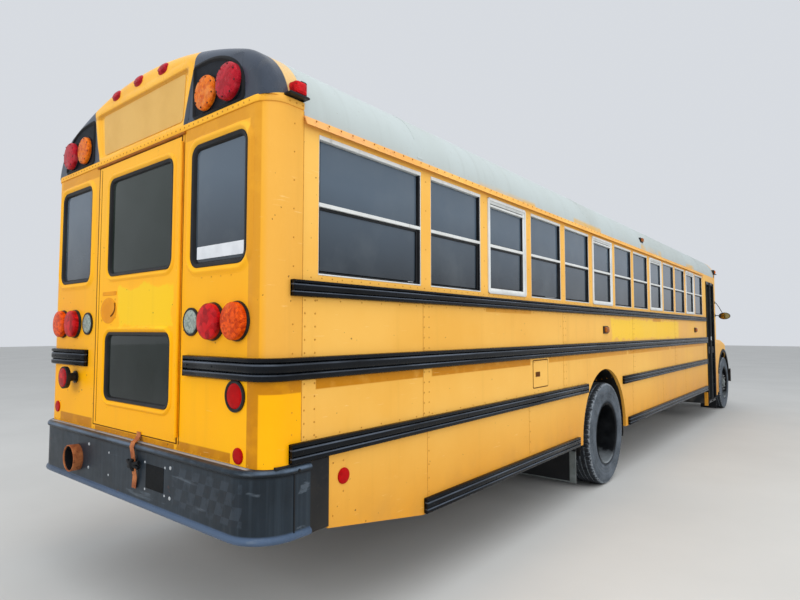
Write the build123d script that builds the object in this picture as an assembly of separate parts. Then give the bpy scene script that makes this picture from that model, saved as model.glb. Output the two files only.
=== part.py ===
from build123d import *
import math
import os

# School bus of the conventional kind, a bonnet ahead of a long ribbed passenger body.
# Millimetres, Z up, the ground at Z = 0 and the front towards -Y. Places along the bus are
# given as a station, the distance ahead of the flat rear face.

# Driving dimensions of the body
OVERALL_LENGTH = 12755
BODY_WIDTH = 2438
BODY_HEIGHT = 3150
WALL = 35
FIT = 0.3
FLOOR_TOP = 1020
FLOOR_DECK = 30
FLOOR_BEAM_HEIGHT = 60
FLOOR_BEAM_WIDTH = 50
SECTION_PITCH = 705
EAVES_DROP = 518
SHOULDER_RADIUS = 375
CORNER_RADIUS = 110
CAP_REAR_DEPTH = 205
CAP_FRONT_DEPTH = 225
CAP_DROP = 460
CAP_EDGE_RADIUS = 70

# Side windows
WINDOW_SILL = 1875
WINDOW_TOP_DROP = 64
FIRST_PILLAR = 1193
FIRST_WINDOW_START = 305
PILLAR_WIDTH = 105
EXIT_WINDOWS = (3, 6, 9, 12)
FRAME_WIDTH = 24
EXIT_FRAME_WIDTH = 40
FRAME_PROUD = 8
GLASS = 6

# Skirts and wheel arch of the rear axle
SKIRT_TOP = 990
SKIRT_BOTTOM = 515
SKIRT_START = 380
SKIRT_SLANT_END = 1158
SKIRT_SLANT_RISE = 135
SKIRT_THICK = 30
ARCH_OFFSET = 52
ARCH_RADIUS = 660
ARCH_AXIS_Z = 540

# Chassis
WHEELBASE = 7290
FRONT_AXLE_AHEAD = 755
FRAME_TOP = 930
FRAME_HEIGHT = 255
FRAME_SETBACK = 787
FRAME_FLANGE = 80
FRAME_PLATE = 9

# Wheels
TYRE_RADIUS = 525
TYRE_WIDTH = 280
TYRE_SETBACK = 4
DUAL_SPACING = 335
RIM_RADIUS = 305
RIM_PLATE = 12
HUB_RADIUS = 110
SPINDLE_RADIUS = 45
RUNNING_FIT = 0.3

# Steering
KINGPIN_SETBACK = 315
KINGPIN_RADIUS = 22
KINGPIN_EYE_RADIUS = 45
KINGPIN_EYE_HEIGHT = 110
STEER_ARM = 180
STEER_ARM_DROP = 95

# Bonnet
BONNET_REACH = 1665
NOSE_SETBACK = 160
BONNET_WALL = 10
BONNET_GAP = 20
BONNET_SETBACK = 659
BONNET_EDGE = 70
FENDER_EDGE = 90
FENDER_INSET = 19
FENDER_SETBACK = 90
FENDER_TAPER = 500
FENDER_NOSE_INSET = 150
FRONT_ARCH_RADIUS = 630
BONNET_PIVOT_AHEAD = 45
BONNET_PIVOT_Z = 815
PIVOT_RADIUS = 12
BONNET_SWING_CLEAR = 6
LUG_THICK = 40
LUG_CLEARANCE = 12

# Rear door
DOOR_SETBACK = 731
DOOR_BOTTOM = 1027
DOOR_TOP_DROP = 54
DOOR_THICK = 38
DOOR_GAP = 6
DOOR_PROUD = 3
DOOR_HINGE_OUT = 10

# Entrance door
ENTRANCE_WIDTH = 690
ENTRANCE_SETBACK = 340
ENTRANCE_BOTTOM = 270
ENTRANCE_TOP_DROP = 122
LEAF_THICK = 36
LEAF_GAP = 6
STEP_WELL_DEPTH = 640
STEP_COUNT = 3

# Bumpers
REAR_BUMPER_REACH = 45
REAR_BUMPER_TOP = 988
REAR_BUMPER_BOTTOM = 660
REAR_BUMPER_RADIUS = 200
REAR_BUMPER_PLATE = 12
REAR_BUMPER_SIDE_END = 255
REAR_BUMPER_BEAD = 32
REAR_BUMPER_BEAD_PROUD = 12
CORNER_PLATE_GAP = 7
CORNER_PLATE_PROUD = 6
FRONT_BUMPER_TOP = 770
FRONT_BUMPER_BOTTOM = 500
FRONT_BUMPER_DEPTH = 70

# Exhaust
TAILPIPE_RADIUS = 68
TAILPIPE_WALL = 4
TAILPIPE_TIP = 45
TAILPIPE_OUTBOARD = 158
TAILPIPE_Z = 812
TAILPIPE_REACH = 60

HALF = BODY_WIDTH / 2
REAR_FACE_Y = OVERALL_LENGTH / 2 - REAR_BUMPER_REACH - TAILPIPE_REACH
FRONT_END = OVERALL_LENGTH - REAR_BUMPER_REACH - TAILPIPE_REACH
BODY_FRONT = FRONT_END - BONNET_REACH
FRONT_AXLE = BODY_FRONT + FRONT_AXLE_AHEAD
REAR_AXLE = FRONT_AXLE - WHEELBASE
ARCH_STATION = REAR_AXLE - ARCH_OFFSET
DECK_BOTTOM = FLOOR_TOP - FLOOR_DECK
INSIDE = HALF - WALL
ROOF_START = CAP_REAR_DEPTH
ROOF_END = BODY_FRONT - CAP_FRONT_DEPTH
EAVES_Z = BODY_HEIGHT - EAVES_DROP
CAP_BOTTOM = BODY_HEIGHT - CAP_DROP
WINDOW_TOP = EAVES_Z - WINDOW_TOP_DROP
WINDOW_MID = (WINDOW_SILL + WINDOW_TOP) / 2
FRAME_HALF_WIDTH = HALF - FRAME_SETBACK
TYRE_OUTER_X = HALF - TYRE_SETBACK
KINGPIN_X = TYRE_OUTER_X - KINGPIN_SETBACK
DOOR_HALF_WIDTH = HALF - DOOR_SETBACK
DOOR_HINGE_X = DOOR_HALF_WIDTH + DOOR_HINGE_OUT
DOOR_TOP = CAP_BOTTOM - DOOR_TOP_DROP
ENTRANCE_END = BODY_FRONT - ENTRANCE_SETBACK
ENTRANCE_START = ENTRANCE_END - ENTRANCE_WIDTH
ENTRANCE_TOP = EAVES_Z - ENTRANCE_TOP_DROP
FENDER_HALF_WIDTH = HALF - FENDER_INSET
BONNET_HALF_WIDTH = HALF - BONNET_SETBACK
LUG_X = FRAME_HALF_WIDTH - FRAME_FLANGE - LUG_CLEARANCE - LUG_THICK
BONNET_START = BODY_FRONT + BONNET_GAP
NOSE = FRONT_END - NOSE_SETBACK
BONNET_PIVOT_STATION = NOSE + BONNET_PIVOT_AHEAD
TAILPIPE_X = FRAME_HALF_WIDTH + TAILPIPE_OUTBOARD

os.makedirs("parts", exist_ok=True)


def save(node, shape):
    """Write one node's solids."""
    export_step(shape, f"parts/{node}.step")


def block(x0, x1, s0, s1, z0, z1):
    """Box between two X, two stations and two heights."""
    centre = Pos((x0 + x1) / 2, REAR_FACE_Y - (s0 + s1) / 2, (z0 + z1) / 2)
    return centre * Box(abs(x1 - x0), abs(s1 - s0), abs(z1 - z0))


def rod_x(x0, x1, station, z, radius):
    """Cylinder along X."""
    place = Pos((x0 + x1) / 2, REAR_FACE_Y - station, z)
    return place * Rot(0, 90, 0) * Cylinder(radius, abs(x1 - x0))


def rod_y(x, s0, s1, z, radius):
    """Cylinder along the bus."""
    place = Pos(x, REAR_FACE_Y - (s0 + s1) / 2, z)
    return place * Rot(90, 0, 0) * Cylinder(radius, abs(s1 - s0))


def rod_z(x, station, z0, z1, radius):
    """Upright cylinder."""
    return Pos(x, REAR_FACE_Y - station, (z0 + z1) / 2) * Cylinder(radius, abs(z1 - z0))


def side_plate(points, x0, x1):
    """Outline of (station, z) points, extruded from x0 to x1."""
    outline = Plane.YZ * make_face(Polyline(*[(REAR_FACE_Y - s, z) for s, z in points], close=True))
    return Pos(min(x0, x1), 0, 0) * extrude(outline, abs(x1 - x0), dir=(1, 0, 0))


def group(*shapes):
    """Separate solids that share a node."""
    solids = [solid for shape in shapes for solid in shape.solids()]
    return Compound(children=solids)


def both_sides(shape):
    """A shape and its mirror image about the middle plane."""
    return group(shape, mirror(shape, Plane.YZ))


def crown_radius(half, height, shoulder):
    """Radius of the roof's middle arc, tangent to shoulder arcs that start upright at the eaves."""
    inner = half - shoulder
    rise = height - EAVES_Z
    return (inner**2 + rise**2 - shoulder**2) / (2 * (rise - shoulder))


def body_face(inset):
    """Cross-section of the body from the ground up, as a closed face in the XZ plane."""
    half = HALF - inset
    height = BODY_HEIGHT - inset
    shoulder = SHOULDER_RADIUS - inset
    crown = crown_radius(half, height, shoulder)
    tilt = math.asin((half - shoulder) / (crown - shoulder))
    join_x = crown * math.sin(tilt)
    join_z = height - crown + crown * math.cos(tilt)
    mid = (math.pi / 2 + tilt) / 2
    mid_x = half - shoulder + shoulder * math.sin(mid)
    mid_z = EAVES_Z + shoulder * math.cos(mid)
    left = ThreePointArc((half, EAVES_Z), (mid_x, mid_z), (join_x, join_z))
    top = ThreePointArc((join_x, join_z), (0, height), (-join_x, join_z))
    right = ThreePointArc((-join_x, join_z), (-mid_x, mid_z), (-half, EAVES_Z))
    base = Polyline((-half, EAVES_Z), (-half, 0), (half, 0), (half, EAVES_Z))
    return make_face(left + top + right + base)


def body_prism(s0, s1, inset=0, bottom=EAVES_Z):
    """The body's section carried between two stations, kept above a height."""
    section = Plane.XZ * body_face(inset)
    prism = Pos(0, REAR_FACE_Y - s0, 0) * extrude(section, abs(s1 - s0), dir=(0, -1, 0))
    return prism & block(-HALF, HALF, s0, s1, bottom, BODY_HEIGHT)


DOOR_POST = 250


def window_spans():
    """Station spans of the side windows ahead of each other, each with its number from the rear."""
    count = int((ENTRANCE_START - DOOR_POST - FIRST_PILLAR) / SECTION_PITCH) + 1
    spans = [(1, FIRST_WINDOW_START, FIRST_PILLAR - PILLAR_WIDTH / 2)]
    for number in range(2, count + 1):
        start = FIRST_PILLAR + (number - 2) * SECTION_PITCH
        spans.append((number, start + PILLAR_WIDTH / 2, start + SECTION_PITCH - PILLAR_WIDTH / 2))
    return spans


GEARBOX_REAR = FRONT_AXLE - 960
CROSSMEMBERS = (120, 1500, 2900, REAR_AXLE - 550, REAR_AXLE + 750, 6900, 8600, GEARBOX_REAR - 480)
CROSSMEMBER_HALF = 40
CROSSMEMBER_BOTTOM = 760
EAR_HALF = 25
HORN_TOP = 790


# Chassis frame: two channels and their crossmembers
def chassis_frame():
    start = REAR_BUMPER_PLATE - REAR_BUMPER_REACH
    end = FRONT_END - FRONT_BUMPER_DEPTH
    bottom = FRAME_TOP - FRAME_HEIGHT
    rail = block(FRAME_HALF_WIDTH - FRAME_FLANGE, FRAME_HALF_WIDTH, start, end, bottom, FRAME_TOP)
    rail -= block(FRAME_HALF_WIDTH - FRAME_FLANGE, FRAME_HALF_WIDTH - FRAME_PLATE, start, end,
                  bottom + FRAME_PLATE, FRAME_TOP - FRAME_PLATE)
    frame = rail + mirror(rail, Plane.YZ)
    web = FRAME_HALF_WIDTH - FRAME_PLATE
    for station in CROSSMEMBERS:
        frame += block(-web, web, station - CROSSMEMBER_HALF, station + CROSSMEMBER_HALF,
                       CROSSMEMBER_BOTTOM, FRAME_TOP - FRAME_PLATE)
    horn = block(-HALF, HALF, NOSE - 90, FRONT_END, HORN_TOP, FRAME_TOP)
    front_member = block(-web, web, end - 120, end - 40, bottom + FRAME_PLATE, HORN_TOP)
    frame = frame - horn + front_member
    for side in (-1, 1):
        ear = block(side * (FRAME_HALF_WIDTH - FRAME_FLANGE), side * FRAME_HALF_WIDTH,
                    BONNET_PIVOT_STATION - EAR_HALF, BONNET_PIVOT_STATION + EAR_HALF, HORN_TOP,
                    BONNET_PIVOT_Z + EAR_HALF)
        frame += ear - rod_x(side, side * HALF, BONNET_PIVOT_STATION, BONNET_PIVOT_Z,
                             PIVOT_RADIUS + FIT)
    return frame


# Floor deck with its cross beams, and the two rear wheelhouses
def wheelhouse_form(radius, inner_x, outer_x):
    barrel = rod_x(inner_x, outer_x, ARCH_STATION, ARCH_AXIS_Z, radius)
    return barrel & block(inner_x, outer_x, ARCH_STATION - radius, ARCH_STATION + radius,
                          DECK_BOTTOM - FLOOR_BEAM_HEIGHT, BODY_HEIGHT)


WHEELHOUSE_X = TYRE_OUTER_X - 655
WHEELHOUSE_PLATE = 12
FLOOR_START = WALL
FLOOR_END = BODY_FRONT - WALL


def body_floor():
    deck = block(-INSIDE, INSIDE, FLOOR_START, FLOOR_END, DECK_BOTTOM, FLOOR_TOP)
    station = FLOOR_START + SECTION_PITCH / 2
    while station < FLOOR_END - SECTION_PITCH / 2:
        deck += block(-INSIDE, INSIDE, station, station + FLOOR_BEAM_WIDTH,
                      FRAME_TOP, DECK_BOTTOM)
        station += SECTION_PITCH
    for side in (-1, 1):
        deck -= wheelhouse_form(ARCH_RADIUS + WHEELHOUSE_PLATE + FIT, side * (WHEELHOUSE_X - FIT),
                                side * HALF)
    deck &= body_plan(WALL, BODY_HEIGHT)
    deck -= block(-HALF, -HALF + STEP_WELL_DEPTH, ENTRANCE_START - STEP_WELL_SIDE,
                  ENTRANCE_END + STEP_WELL_SIDE, FRAME_TOP, FLOOR_TOP)
    return deck


def wheelhouses():
    """Half-round housings over the rear wheels, standing in the deck's two notches."""
    outer = wheelhouse_form(ARCH_RADIUS + WHEELHOUSE_PLATE, WHEELHOUSE_X, INSIDE)
    inner = wheelhouse_form(ARCH_RADIUS, WHEELHOUSE_X + WHEELHOUSE_PLATE, INSIDE)
    above = block(0, HALF, 0, BODY_FRONT, DECK_BOTTOM, BODY_HEIGHT)
    return both_sides((outer & above) - inner)


# Side walls above the floor line, with their windows cut
def side_wall(side):
    wall = block(side * INSIDE, side * HALF, ROOF_START, BODY_FRONT - CORNER_RADIUS,
                 DECK_BOTTOM, EAVES_Z)
    for _, start, end in window_spans():
        wall -= block(side * (INSIDE - 1), side * (HALF + 1), start, end, WINDOW_SILL, WINDOW_TOP)
    wall -= rod_x(side * (INSIDE - 1), side * (HALF + 1), ARCH_STATION, ARCH_AXIS_Z, ARCH_RADIUS)
    if side < 0:
        wall -= block(side * (INSIDE - 1), side * (HALF + 1), ENTRANCE_START - LEAF_GAP,
                      ENTRANCE_END + LEAF_GAP, 0, ENTRANCE_TOP + LEAF_GAP)
    else:
        wall -= block(side * (INSIDE - 1), side * (HALF + 1), DRIVER_WINDOW_START,
                      DRIVER_WINDOW_END, WINDOW_SILL, WINDOW_TOP)
    return wall


DRIVER_WINDOW_START = BODY_FRONT - 1025
DRIVER_WINDOW_END = BODY_FRONT - 285


def skirts():
    """Panels below the floor line, ending at the wheel arches and the entrance."""
    low = SKIRT_BOTTOM
    rear = [(SKIRT_START, SKIRT_TOP), (SKIRT_START, low + SKIRT_SLANT_RISE),
            (SKIRT_SLANT_END, low), (ARCH_STATION - ARCH_RADIUS, low),
            (ARCH_STATION - ARCH_RADIUS, SKIRT_TOP)]
    front_ends = {-1: ENTRANCE_START - LEAF_GAP, 1: BODY_FRONT - CORNER_RADIUS}
    arch = rod_x(-HALF - 1, HALF + 1, ARCH_STATION, ARCH_AXIS_Z, ARCH_RADIUS)
    panels = []
    for side in (-1, 1):
        inner = side * (HALF - SKIRT_THICK)
        outer = side * HALF
        front = block(inner, outer, ARCH_STATION + ARCH_RADIUS, front_ends[side], low, SKIRT_TOP)
        panels += [side_plate(rear, inner, outer) - arch, front - arch]
    nose_bottom = 350
    panels.append(block(-HALF, -HALF + SKIRT_THICK, ENTRANCE_END + LEAF_GAP,
                        BODY_FRONT - CORNER_RADIUS, nose_bottom, SKIRT_TOP))
    return group(*panels)


# Roof shell with two hatch openings
HATCH_STATIONS = (3300, 8250)
HATCH_HALF = 300


def roof_shell():
    shell = body_prism(ROOF_START, ROOF_END) - body_prism(ROOF_START, ROOF_END, WALL)
    for station in HATCH_STATIONS:
        rim = HATCH_HALF + HATCH_FRAME
        shell += block(-rim, rim, station - rim, station + rim, HATCH_RIM_BOTTOM, HATCH_FRAME_TOP)
        shell -= block(-HATCH_HALF, HATCH_HALF, station - HATCH_HALF, station + HATCH_HALF,
                       EAVES_Z, HATCH_FRAME_TOP)
    return shell


HATCH_FRAME = 25
HATCH_FRAME_TOP = BODY_HEIGHT + 12
HATCH_RIM_BOTTOM = BODY_HEIGHT - WALL - 25
HATCH_LID = 28
HATCH_SEAT_GAP = 0.3
LID_OVERHANG = 40


def hatch_lid(station):
    reach = HATCH_HALF + LID_OVERHANG
    bottom = HATCH_FRAME_TOP + HATCH_SEAT_GAP
    lid = block(-reach, reach, station - reach, station + reach, bottom, bottom + HATCH_LID)
    lid = fillet(lid.edges().filter_by(Axis.Z), 40)
    return fillet(lid.faces().sort_by(Axis.Z)[-1].edges(), 15)


# Rear wall: flat face, rounded corners, door opening and two windows
REAR_WINDOW = (HALF - 619, HALF - 159, 1930, EAVES_Z - 82)


def body_plan(inset, height):
    """Column over the body's plan, a rectangle with rounded corners."""
    plan = RectangleRounded(2 * (HALF - inset), BODY_FRONT - 2 * inset, CORNER_RADIUS - inset)
    column = extrude(plan, height, dir=(0, 0, 1))
    return Pos(0, REAR_FACE_Y - BODY_FRONT / 2, 0) * column


def end_shell(s_low, s_high, bottom, top):
    """Upright wall around one end of the plan, one wall thick."""
    shell = body_plan(0, top) - body_plan(WALL, top)
    return shell & block(-HALF, HALF, s_low, s_high, bottom, top)


def rear_wall():
    shell = end_shell(0, ROOF_START, DECK_BOTTOM, CAP_BOTTOM)
    edge = DOOR_HALF_WIDTH + DOOR_GAP
    shell -= block(-edge, edge, -1, WALL + 1, DOOR_BOTTOM - DOOR_GAP, DOOR_TOP + DOOR_GAP)
    x0, x1, z0, z1 = REAR_WINDOW
    for side in (-1, 1):
        shell -= block(side * x0, side * x1, -1, WALL + 1, z0, z1)
    return shell


def end_cap(s_open, s_face, bottom):
    """Closed end of the roof, its outer edge rounded."""
    low, high = sorted((s_open, s_face))
    cap = body_prism(low, high, 0, bottom)
    rear_most = -1 if s_face < s_open else 0
    end_edges = cap.edges().group_by(Axis.Y)[rear_most].sort_by(Axis.Z)[1:]
    cap = fillet([e for e in end_edges if e.center().Z > EAVES_Z + 60], CAP_EDGE_RADIUS)
    inner_low = low + WALL if s_face < s_open else low
    inner_high = high if s_face < s_open else high - WALL
    return cap - body_prism(inner_low, inner_high, WALL, bottom - 1)


SIGN_RECESS = 12
SIGN_BOX = (HALF - 669, CAP_BOTTOM + 22, BODY_HEIGHT - 152)
WARNING_BOX = (HALF - 619, HALF - 214, CAP_BOTTOM + 14, BODY_HEIGHT - 214)


def recess(cap, s_face, sign):
    """Shallow pockets for the blank sign plate and the two pairs of warning lamps."""
    half, z0, z1 = SIGN_BOX
    s0, s1 = s_face - sign, s_face + sign * SIGN_RECESS
    cap -= block(-half, half, s0, s1, z0, z1)
    x0, x1, z0, z1 = WARNING_BOX
    for side in (-1, 1):
        cap -= block(side * x0, side * x1, s0, s1, z0, z1)
    return cap


def rear_cap():
    return recess(end_cap(ROOF_START, 0, CAP_BOTTOM), 0, 1)


SCREEN_SILL = 1680
SCREEN_TOP = EAVES_Z - 72
SCREEN_HALF = HALF - 139
SCREEN_POST = 40


def front_cap():
    return recess(end_cap(ROOF_END, BODY_FRONT, CAP_BOTTOM), BODY_FRONT, -1)


def cowl():
    """Front wall with the two halves of the windscreen cut and rounded corner posts."""
    shell = end_shell(BODY_FRONT - CORNER_RADIUS, BODY_FRONT, DECK_BOTTOM, CAP_BOTTOM)
    for side in (-1, 1):
        shell -= block(side * SCREEN_POST, side * SCREEN_HALF, BODY_FRONT - WALL - 1,
                       BODY_FRONT + 1, SCREEN_SILL, SCREEN_TOP)
    return shell


# Rub rails: black ribbed channels standing proud of the body
RAIL_PROUD = 28
RAIL_GROOVE = 6
RAIL_RIB_PITCH = 26
RAILS = (
    # bottom, top, start, end
    (1766, 1844, 134, BODY_FRONT - 1175),
    (999, 1089, 134, ARCH_STATION - 548),
    (999, 1089, ARCH_STATION + 572, BODY_FRONT - 1135),
    (520, 610, 1170, ARCH_STATION - 788),
    (520, 610, ARCH_STATION + 747, BODY_FRONT - 1185),
)
WRAP_RAIL = (1376, 1482, BODY_FRONT - 1075)
WRAP_START = {-1: HALF - 639, 1: HALF - 619}


def rail_band(bottom, top):
    """Ribbed band all round the body's plan, grooved between its ribs."""
    body = body_plan(0, BODY_HEIGHT)
    ring = body_plan(-RAIL_PROUD, BODY_HEIGHT) - body
    groove = body_plan(-RAIL_PROUD, BODY_HEIGHT) - body_plan(RAIL_GROOVE - RAIL_PROUD, BODY_HEIGHT)
    reach = HALF + RAIL_PROUD + 1
    front = BODY_FRONT + RAIL_PROUD + 1
    band = ring & block(-reach, reach, -RAIL_PROUD - 1, front, bottom, top)
    ribs = round((top - bottom) / RAIL_RIB_PITCH)
    pitch = (top - bottom) / (2 * ribs + 1)
    for rib in range(ribs):
        low = bottom + (2 * rib + 1) * pitch
        band -= groove & block(-reach, reach, -RAIL_PROUD - 1, front, low, low + pitch)
    return band


def rub_rails(side):
    reach = side * (HALF + RAIL_PROUD + 1)
    rails = []
    for bottom, top, start, end in RAILS:
        rails.append(rail_band(bottom, top) & block(side * INSIDE, reach, start, end, bottom, top))
    bottom, top, end = WRAP_RAIL
    span = block(side * WRAP_START[side], reach, -RAIL_PROUD - 1, end, bottom, top)
    rails.append(rail_band(bottom, top) & span)
    return group(*rails)


# Drip rails above the windows
DRIP_HEIGHT = 44
DRIP_BOTTOM = EAVES_Z - DRIP_HEIGHT
DRIP_REACH = 30
DRIP_SHELF = 10
DRIP_SHEET = 4
DRIP_START = 203
DRIP_END = BODY_FRONT - 1265


def drip_rails():
    """Flange that drops from a shelf at the eaves and leans outwards to its lower edge."""
    section = make_face(Polyline((HALF, EAVES_Z), (HALF + DRIP_SHELF, EAVES_Z),
                                 (HALF + DRIP_REACH, DRIP_BOTTOM),
                                 (HALF + DRIP_REACH - DRIP_SHEET, DRIP_BOTTOM),
                                 (HALF + DRIP_SHEET, EAVES_Z - DRIP_SHEET), (HALF, EAVES_Z - DRIP_SHEET),
                                 close=True))
    rail = extrude(Plane.XZ * section, DRIP_END - DRIP_START, dir=(0, -1, 0))
    return both_sides(Pos(0, REAR_FACE_Y - DRIP_START, 0) * rail)


# Window frames and glass

def window_frames(side):
    frames = []
    for number, start, end in window_spans():
        width = EXIT_FRAME_WIDTH if number in EXIT_WINDOWS else FRAME_WIDTH
        ring = block(side * INSIDE, side * (HALF + FRAME_PROUD), start + FIT, end - FIT,
                     WINDOW_SILL + FIT, WINDOW_TOP - FIT)
        ring -= block(side * (INSIDE - 1), side * (HALF + FRAME_PROUD + 1), start + width,
                      end - width, WINDOW_SILL + width, WINDOW_MID - width / 2)
        ring -= block(side * (INSIDE - 1), side * (HALF + FRAME_PROUD + 1), start + width,
                      end - width, WINDOW_MID + width / 2, WINDOW_TOP - width)
        frames.append(ring)
    return group(*frames)


def side_glass(side):
    panes = []
    x0 = side * (HALF - WALL / 2)
    x1 = x0 - side * GLASS
    for number, start, end in window_spans():
        width = EXIT_FRAME_WIDTH if number in EXIT_WINDOWS else FRAME_WIDTH
        for low, high in ((WINDOW_SILL + width, WINDOW_MID - width / 2),
                          (WINDOW_MID + width / 2, WINDOW_TOP - width)):
            panes.append(block(x0, x1, start + width + FIT, end - width - FIT, low + FIT, high - FIT))
    if side > 0:
        panes.append(block(x0, x1, DRIVER_WINDOW_START + FIT, DRIVER_WINDOW_END - FIT,
                           WINDOW_SILL + FIT, WINDOW_TOP - FIT))
    return group(*panes)


def end_glass():
    """Windscreen halves and the two fixed rear windows."""
    panes = []
    x0, x1, z0, z1 = REAR_WINDOW
    for side in (-1, 1):
        panes.append(block(side * (x0 + FIT), side * (x1 - FIT), 12, 12 + GLASS, z0 + FIT, z1 - FIT))
        panes.append(block(side * (SCREEN_POST + FIT), side * (SCREEN_HALF - FIT),
                           BODY_FRONT - 20, BODY_FRONT - 20 + GLASS,
                           SCREEN_SILL + FIT, SCREEN_TOP - FIT))
    return group(*panes)


# Rear door on its right-hand hinge
def rear_door():
    door = block(-DOOR_HALF_WIDTH, DOOR_HALF_WIDTH, -DOOR_PROUD, DOOR_THICK - DOOR_PROUD,
                 DOOR_BOTTOM, DOOR_TOP)
    door += rod_z(-DOOR_HINGE_X, -DOOR_HINGE_OUT, DOOR_BOTTOM + 30, DOOR_TOP - 30,
                  DOOR_HINGE_OUT - FIT)
    door += block(-DOOR_HINGE_X + 4, -DOOR_HALF_WIDTH + 40, -DOOR_PROUD - 4, -DOOR_PROUD,
                  DOOR_BOTTOM + 30, DOOR_TOP - 30)
    for x0, x1, z0, z1 in DOOR_WINDOWS:
        cut = block(x0, x1, -DOOR_PROUD - 1, DOOR_THICK, z0, z1)
        door -= fillet(cut.edges().filter_by(Axis.Y), DOOR_WINDOW_RADIUS)
    return door


DOOR_WINDOWS = (
    # x from, x to, bottom, top
    (83 - DOOR_HALF_WIDTH, DOOR_HALF_WIDTH - 153, 1944, EAVES_Z - 95),
    (83 - DOOR_HALF_WIDTH, DOOR_HALF_WIDTH - 143, 1192, 1589),
)
DOOR_WINDOW_RADIUS = 45


def rear_door_glass():
    panes = []
    for x0, x1, z0, z1 in DOOR_WINDOWS:
        pane = block(x0 + FIT, x1 - FIT, 10, 10 + GLASS, z0 + FIT, z1 - FIT)
        panes.append(fillet(pane.edges().filter_by(Axis.Y), DOOR_WINDOW_RADIUS))
    return group(*panes)


# Entrance door: two leaves, each hinged at its own jamb
LEAF_FRAME = 45
LEAF_HINGE_OUT = 8
LEAF_HINGE_BEYOND = 9
LEAF_RAIL_Z = (1180, 1300)


def leaf_span(front):
    middle = (ENTRANCE_START + ENTRANCE_END) / 2
    if front:
        return middle + LEAF_GAP / 2, ENTRANCE_END
    return ENTRANCE_START, middle - LEAF_GAP / 2


def leaf_panes():
    low, high = LEAF_RAIL_Z
    return ((ENTRANCE_BOTTOM + LEAF_FRAME, low), (high, ENTRANCE_TOP - LEAF_FRAME))


def entrance_leaf(front):
    start, end = leaf_span(front)
    leaf = block(-HALF, -HALF + LEAF_THICK, start, end, ENTRANCE_BOTTOM, ENTRANCE_TOP)
    for low, high in leaf_panes():
        leaf -= block(-HALF - 1, -HALF + LEAF_THICK + 1, start + LEAF_FRAME, end - LEAF_FRAME,
                      low, high)
    hinge = ENTRANCE_END + LEAF_HINGE_BEYOND if front else ENTRANCE_START - LEAF_HINGE_BEYOND
    strap = (end - 30, hinge - 4) if front else (hinge + 4, start + 30)
    low, high = ENTRANCE_BOTTOM + 100, ENTRANCE_TOP - 30
    leaf += rod_z(-HALF - LEAF_HINGE_OUT, hinge, low, high, LEAF_HINGE_OUT - FIT)
    return leaf + block(-HALF - 4, -HALF, *strap, low, high)


def entrance_glass(front):
    start, end = leaf_span(front)
    x0 = -HALF + LEAF_THICK / 2
    return group(*[block(x0, x0 + GLASS, start + LEAF_FRAME + FIT, end - LEAF_FRAME - FIT,
                         low + FIT, high - FIT) for low, high in leaf_panes()])


STEP_PLATE = 4
STEP_WELL_SIDE = 10


def step_well():
    """Stepped tray between the door and the floor."""
    start, end = ENTRANCE_START - STEP_WELL_SIDE, ENTRANCE_END + STEP_WELL_SIDE
    rise = (DECK_BOTTOM - ENTRANCE_BOTTOM) / STEP_COUNT
    tread = (STEP_WELL_DEPTH - LEAF_THICK - 20) / STEP_COUNT
    x = -HALF + LEAF_THICK + 20
    z = ENTRANCE_BOTTOM
    points = []
    for step in range(STEP_COUNT):
        points += [(x, z), (x + tread, z)]
        x += tread
        z += rise
    points.append((x, DECK_BOTTOM))
    upper = points + [(px - STEP_PLATE if px > points[0][0] else px, pz + STEP_PLATE)
                      for px, pz in reversed(points[:-1])]
    upper.insert(len(points), (x - STEP_PLATE, DECK_BOTTOM))
    outline = make_face(Polyline(*upper, close=True))
    tray = extrude(Plane.XZ * outline, end - start, dir=(0, -1, 0))
    tray = Pos(0, REAR_FACE_Y - start, 0) * tray
    side_x0, side_x1 = points[0][0], x
    for s0 in (start, end - STEP_PLATE):
        tray += block(side_x0, side_x1, s0, s0 + STEP_PLATE, ENTRANCE_BOTTOM, DECK_BOTTOM)
    return tray


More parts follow.
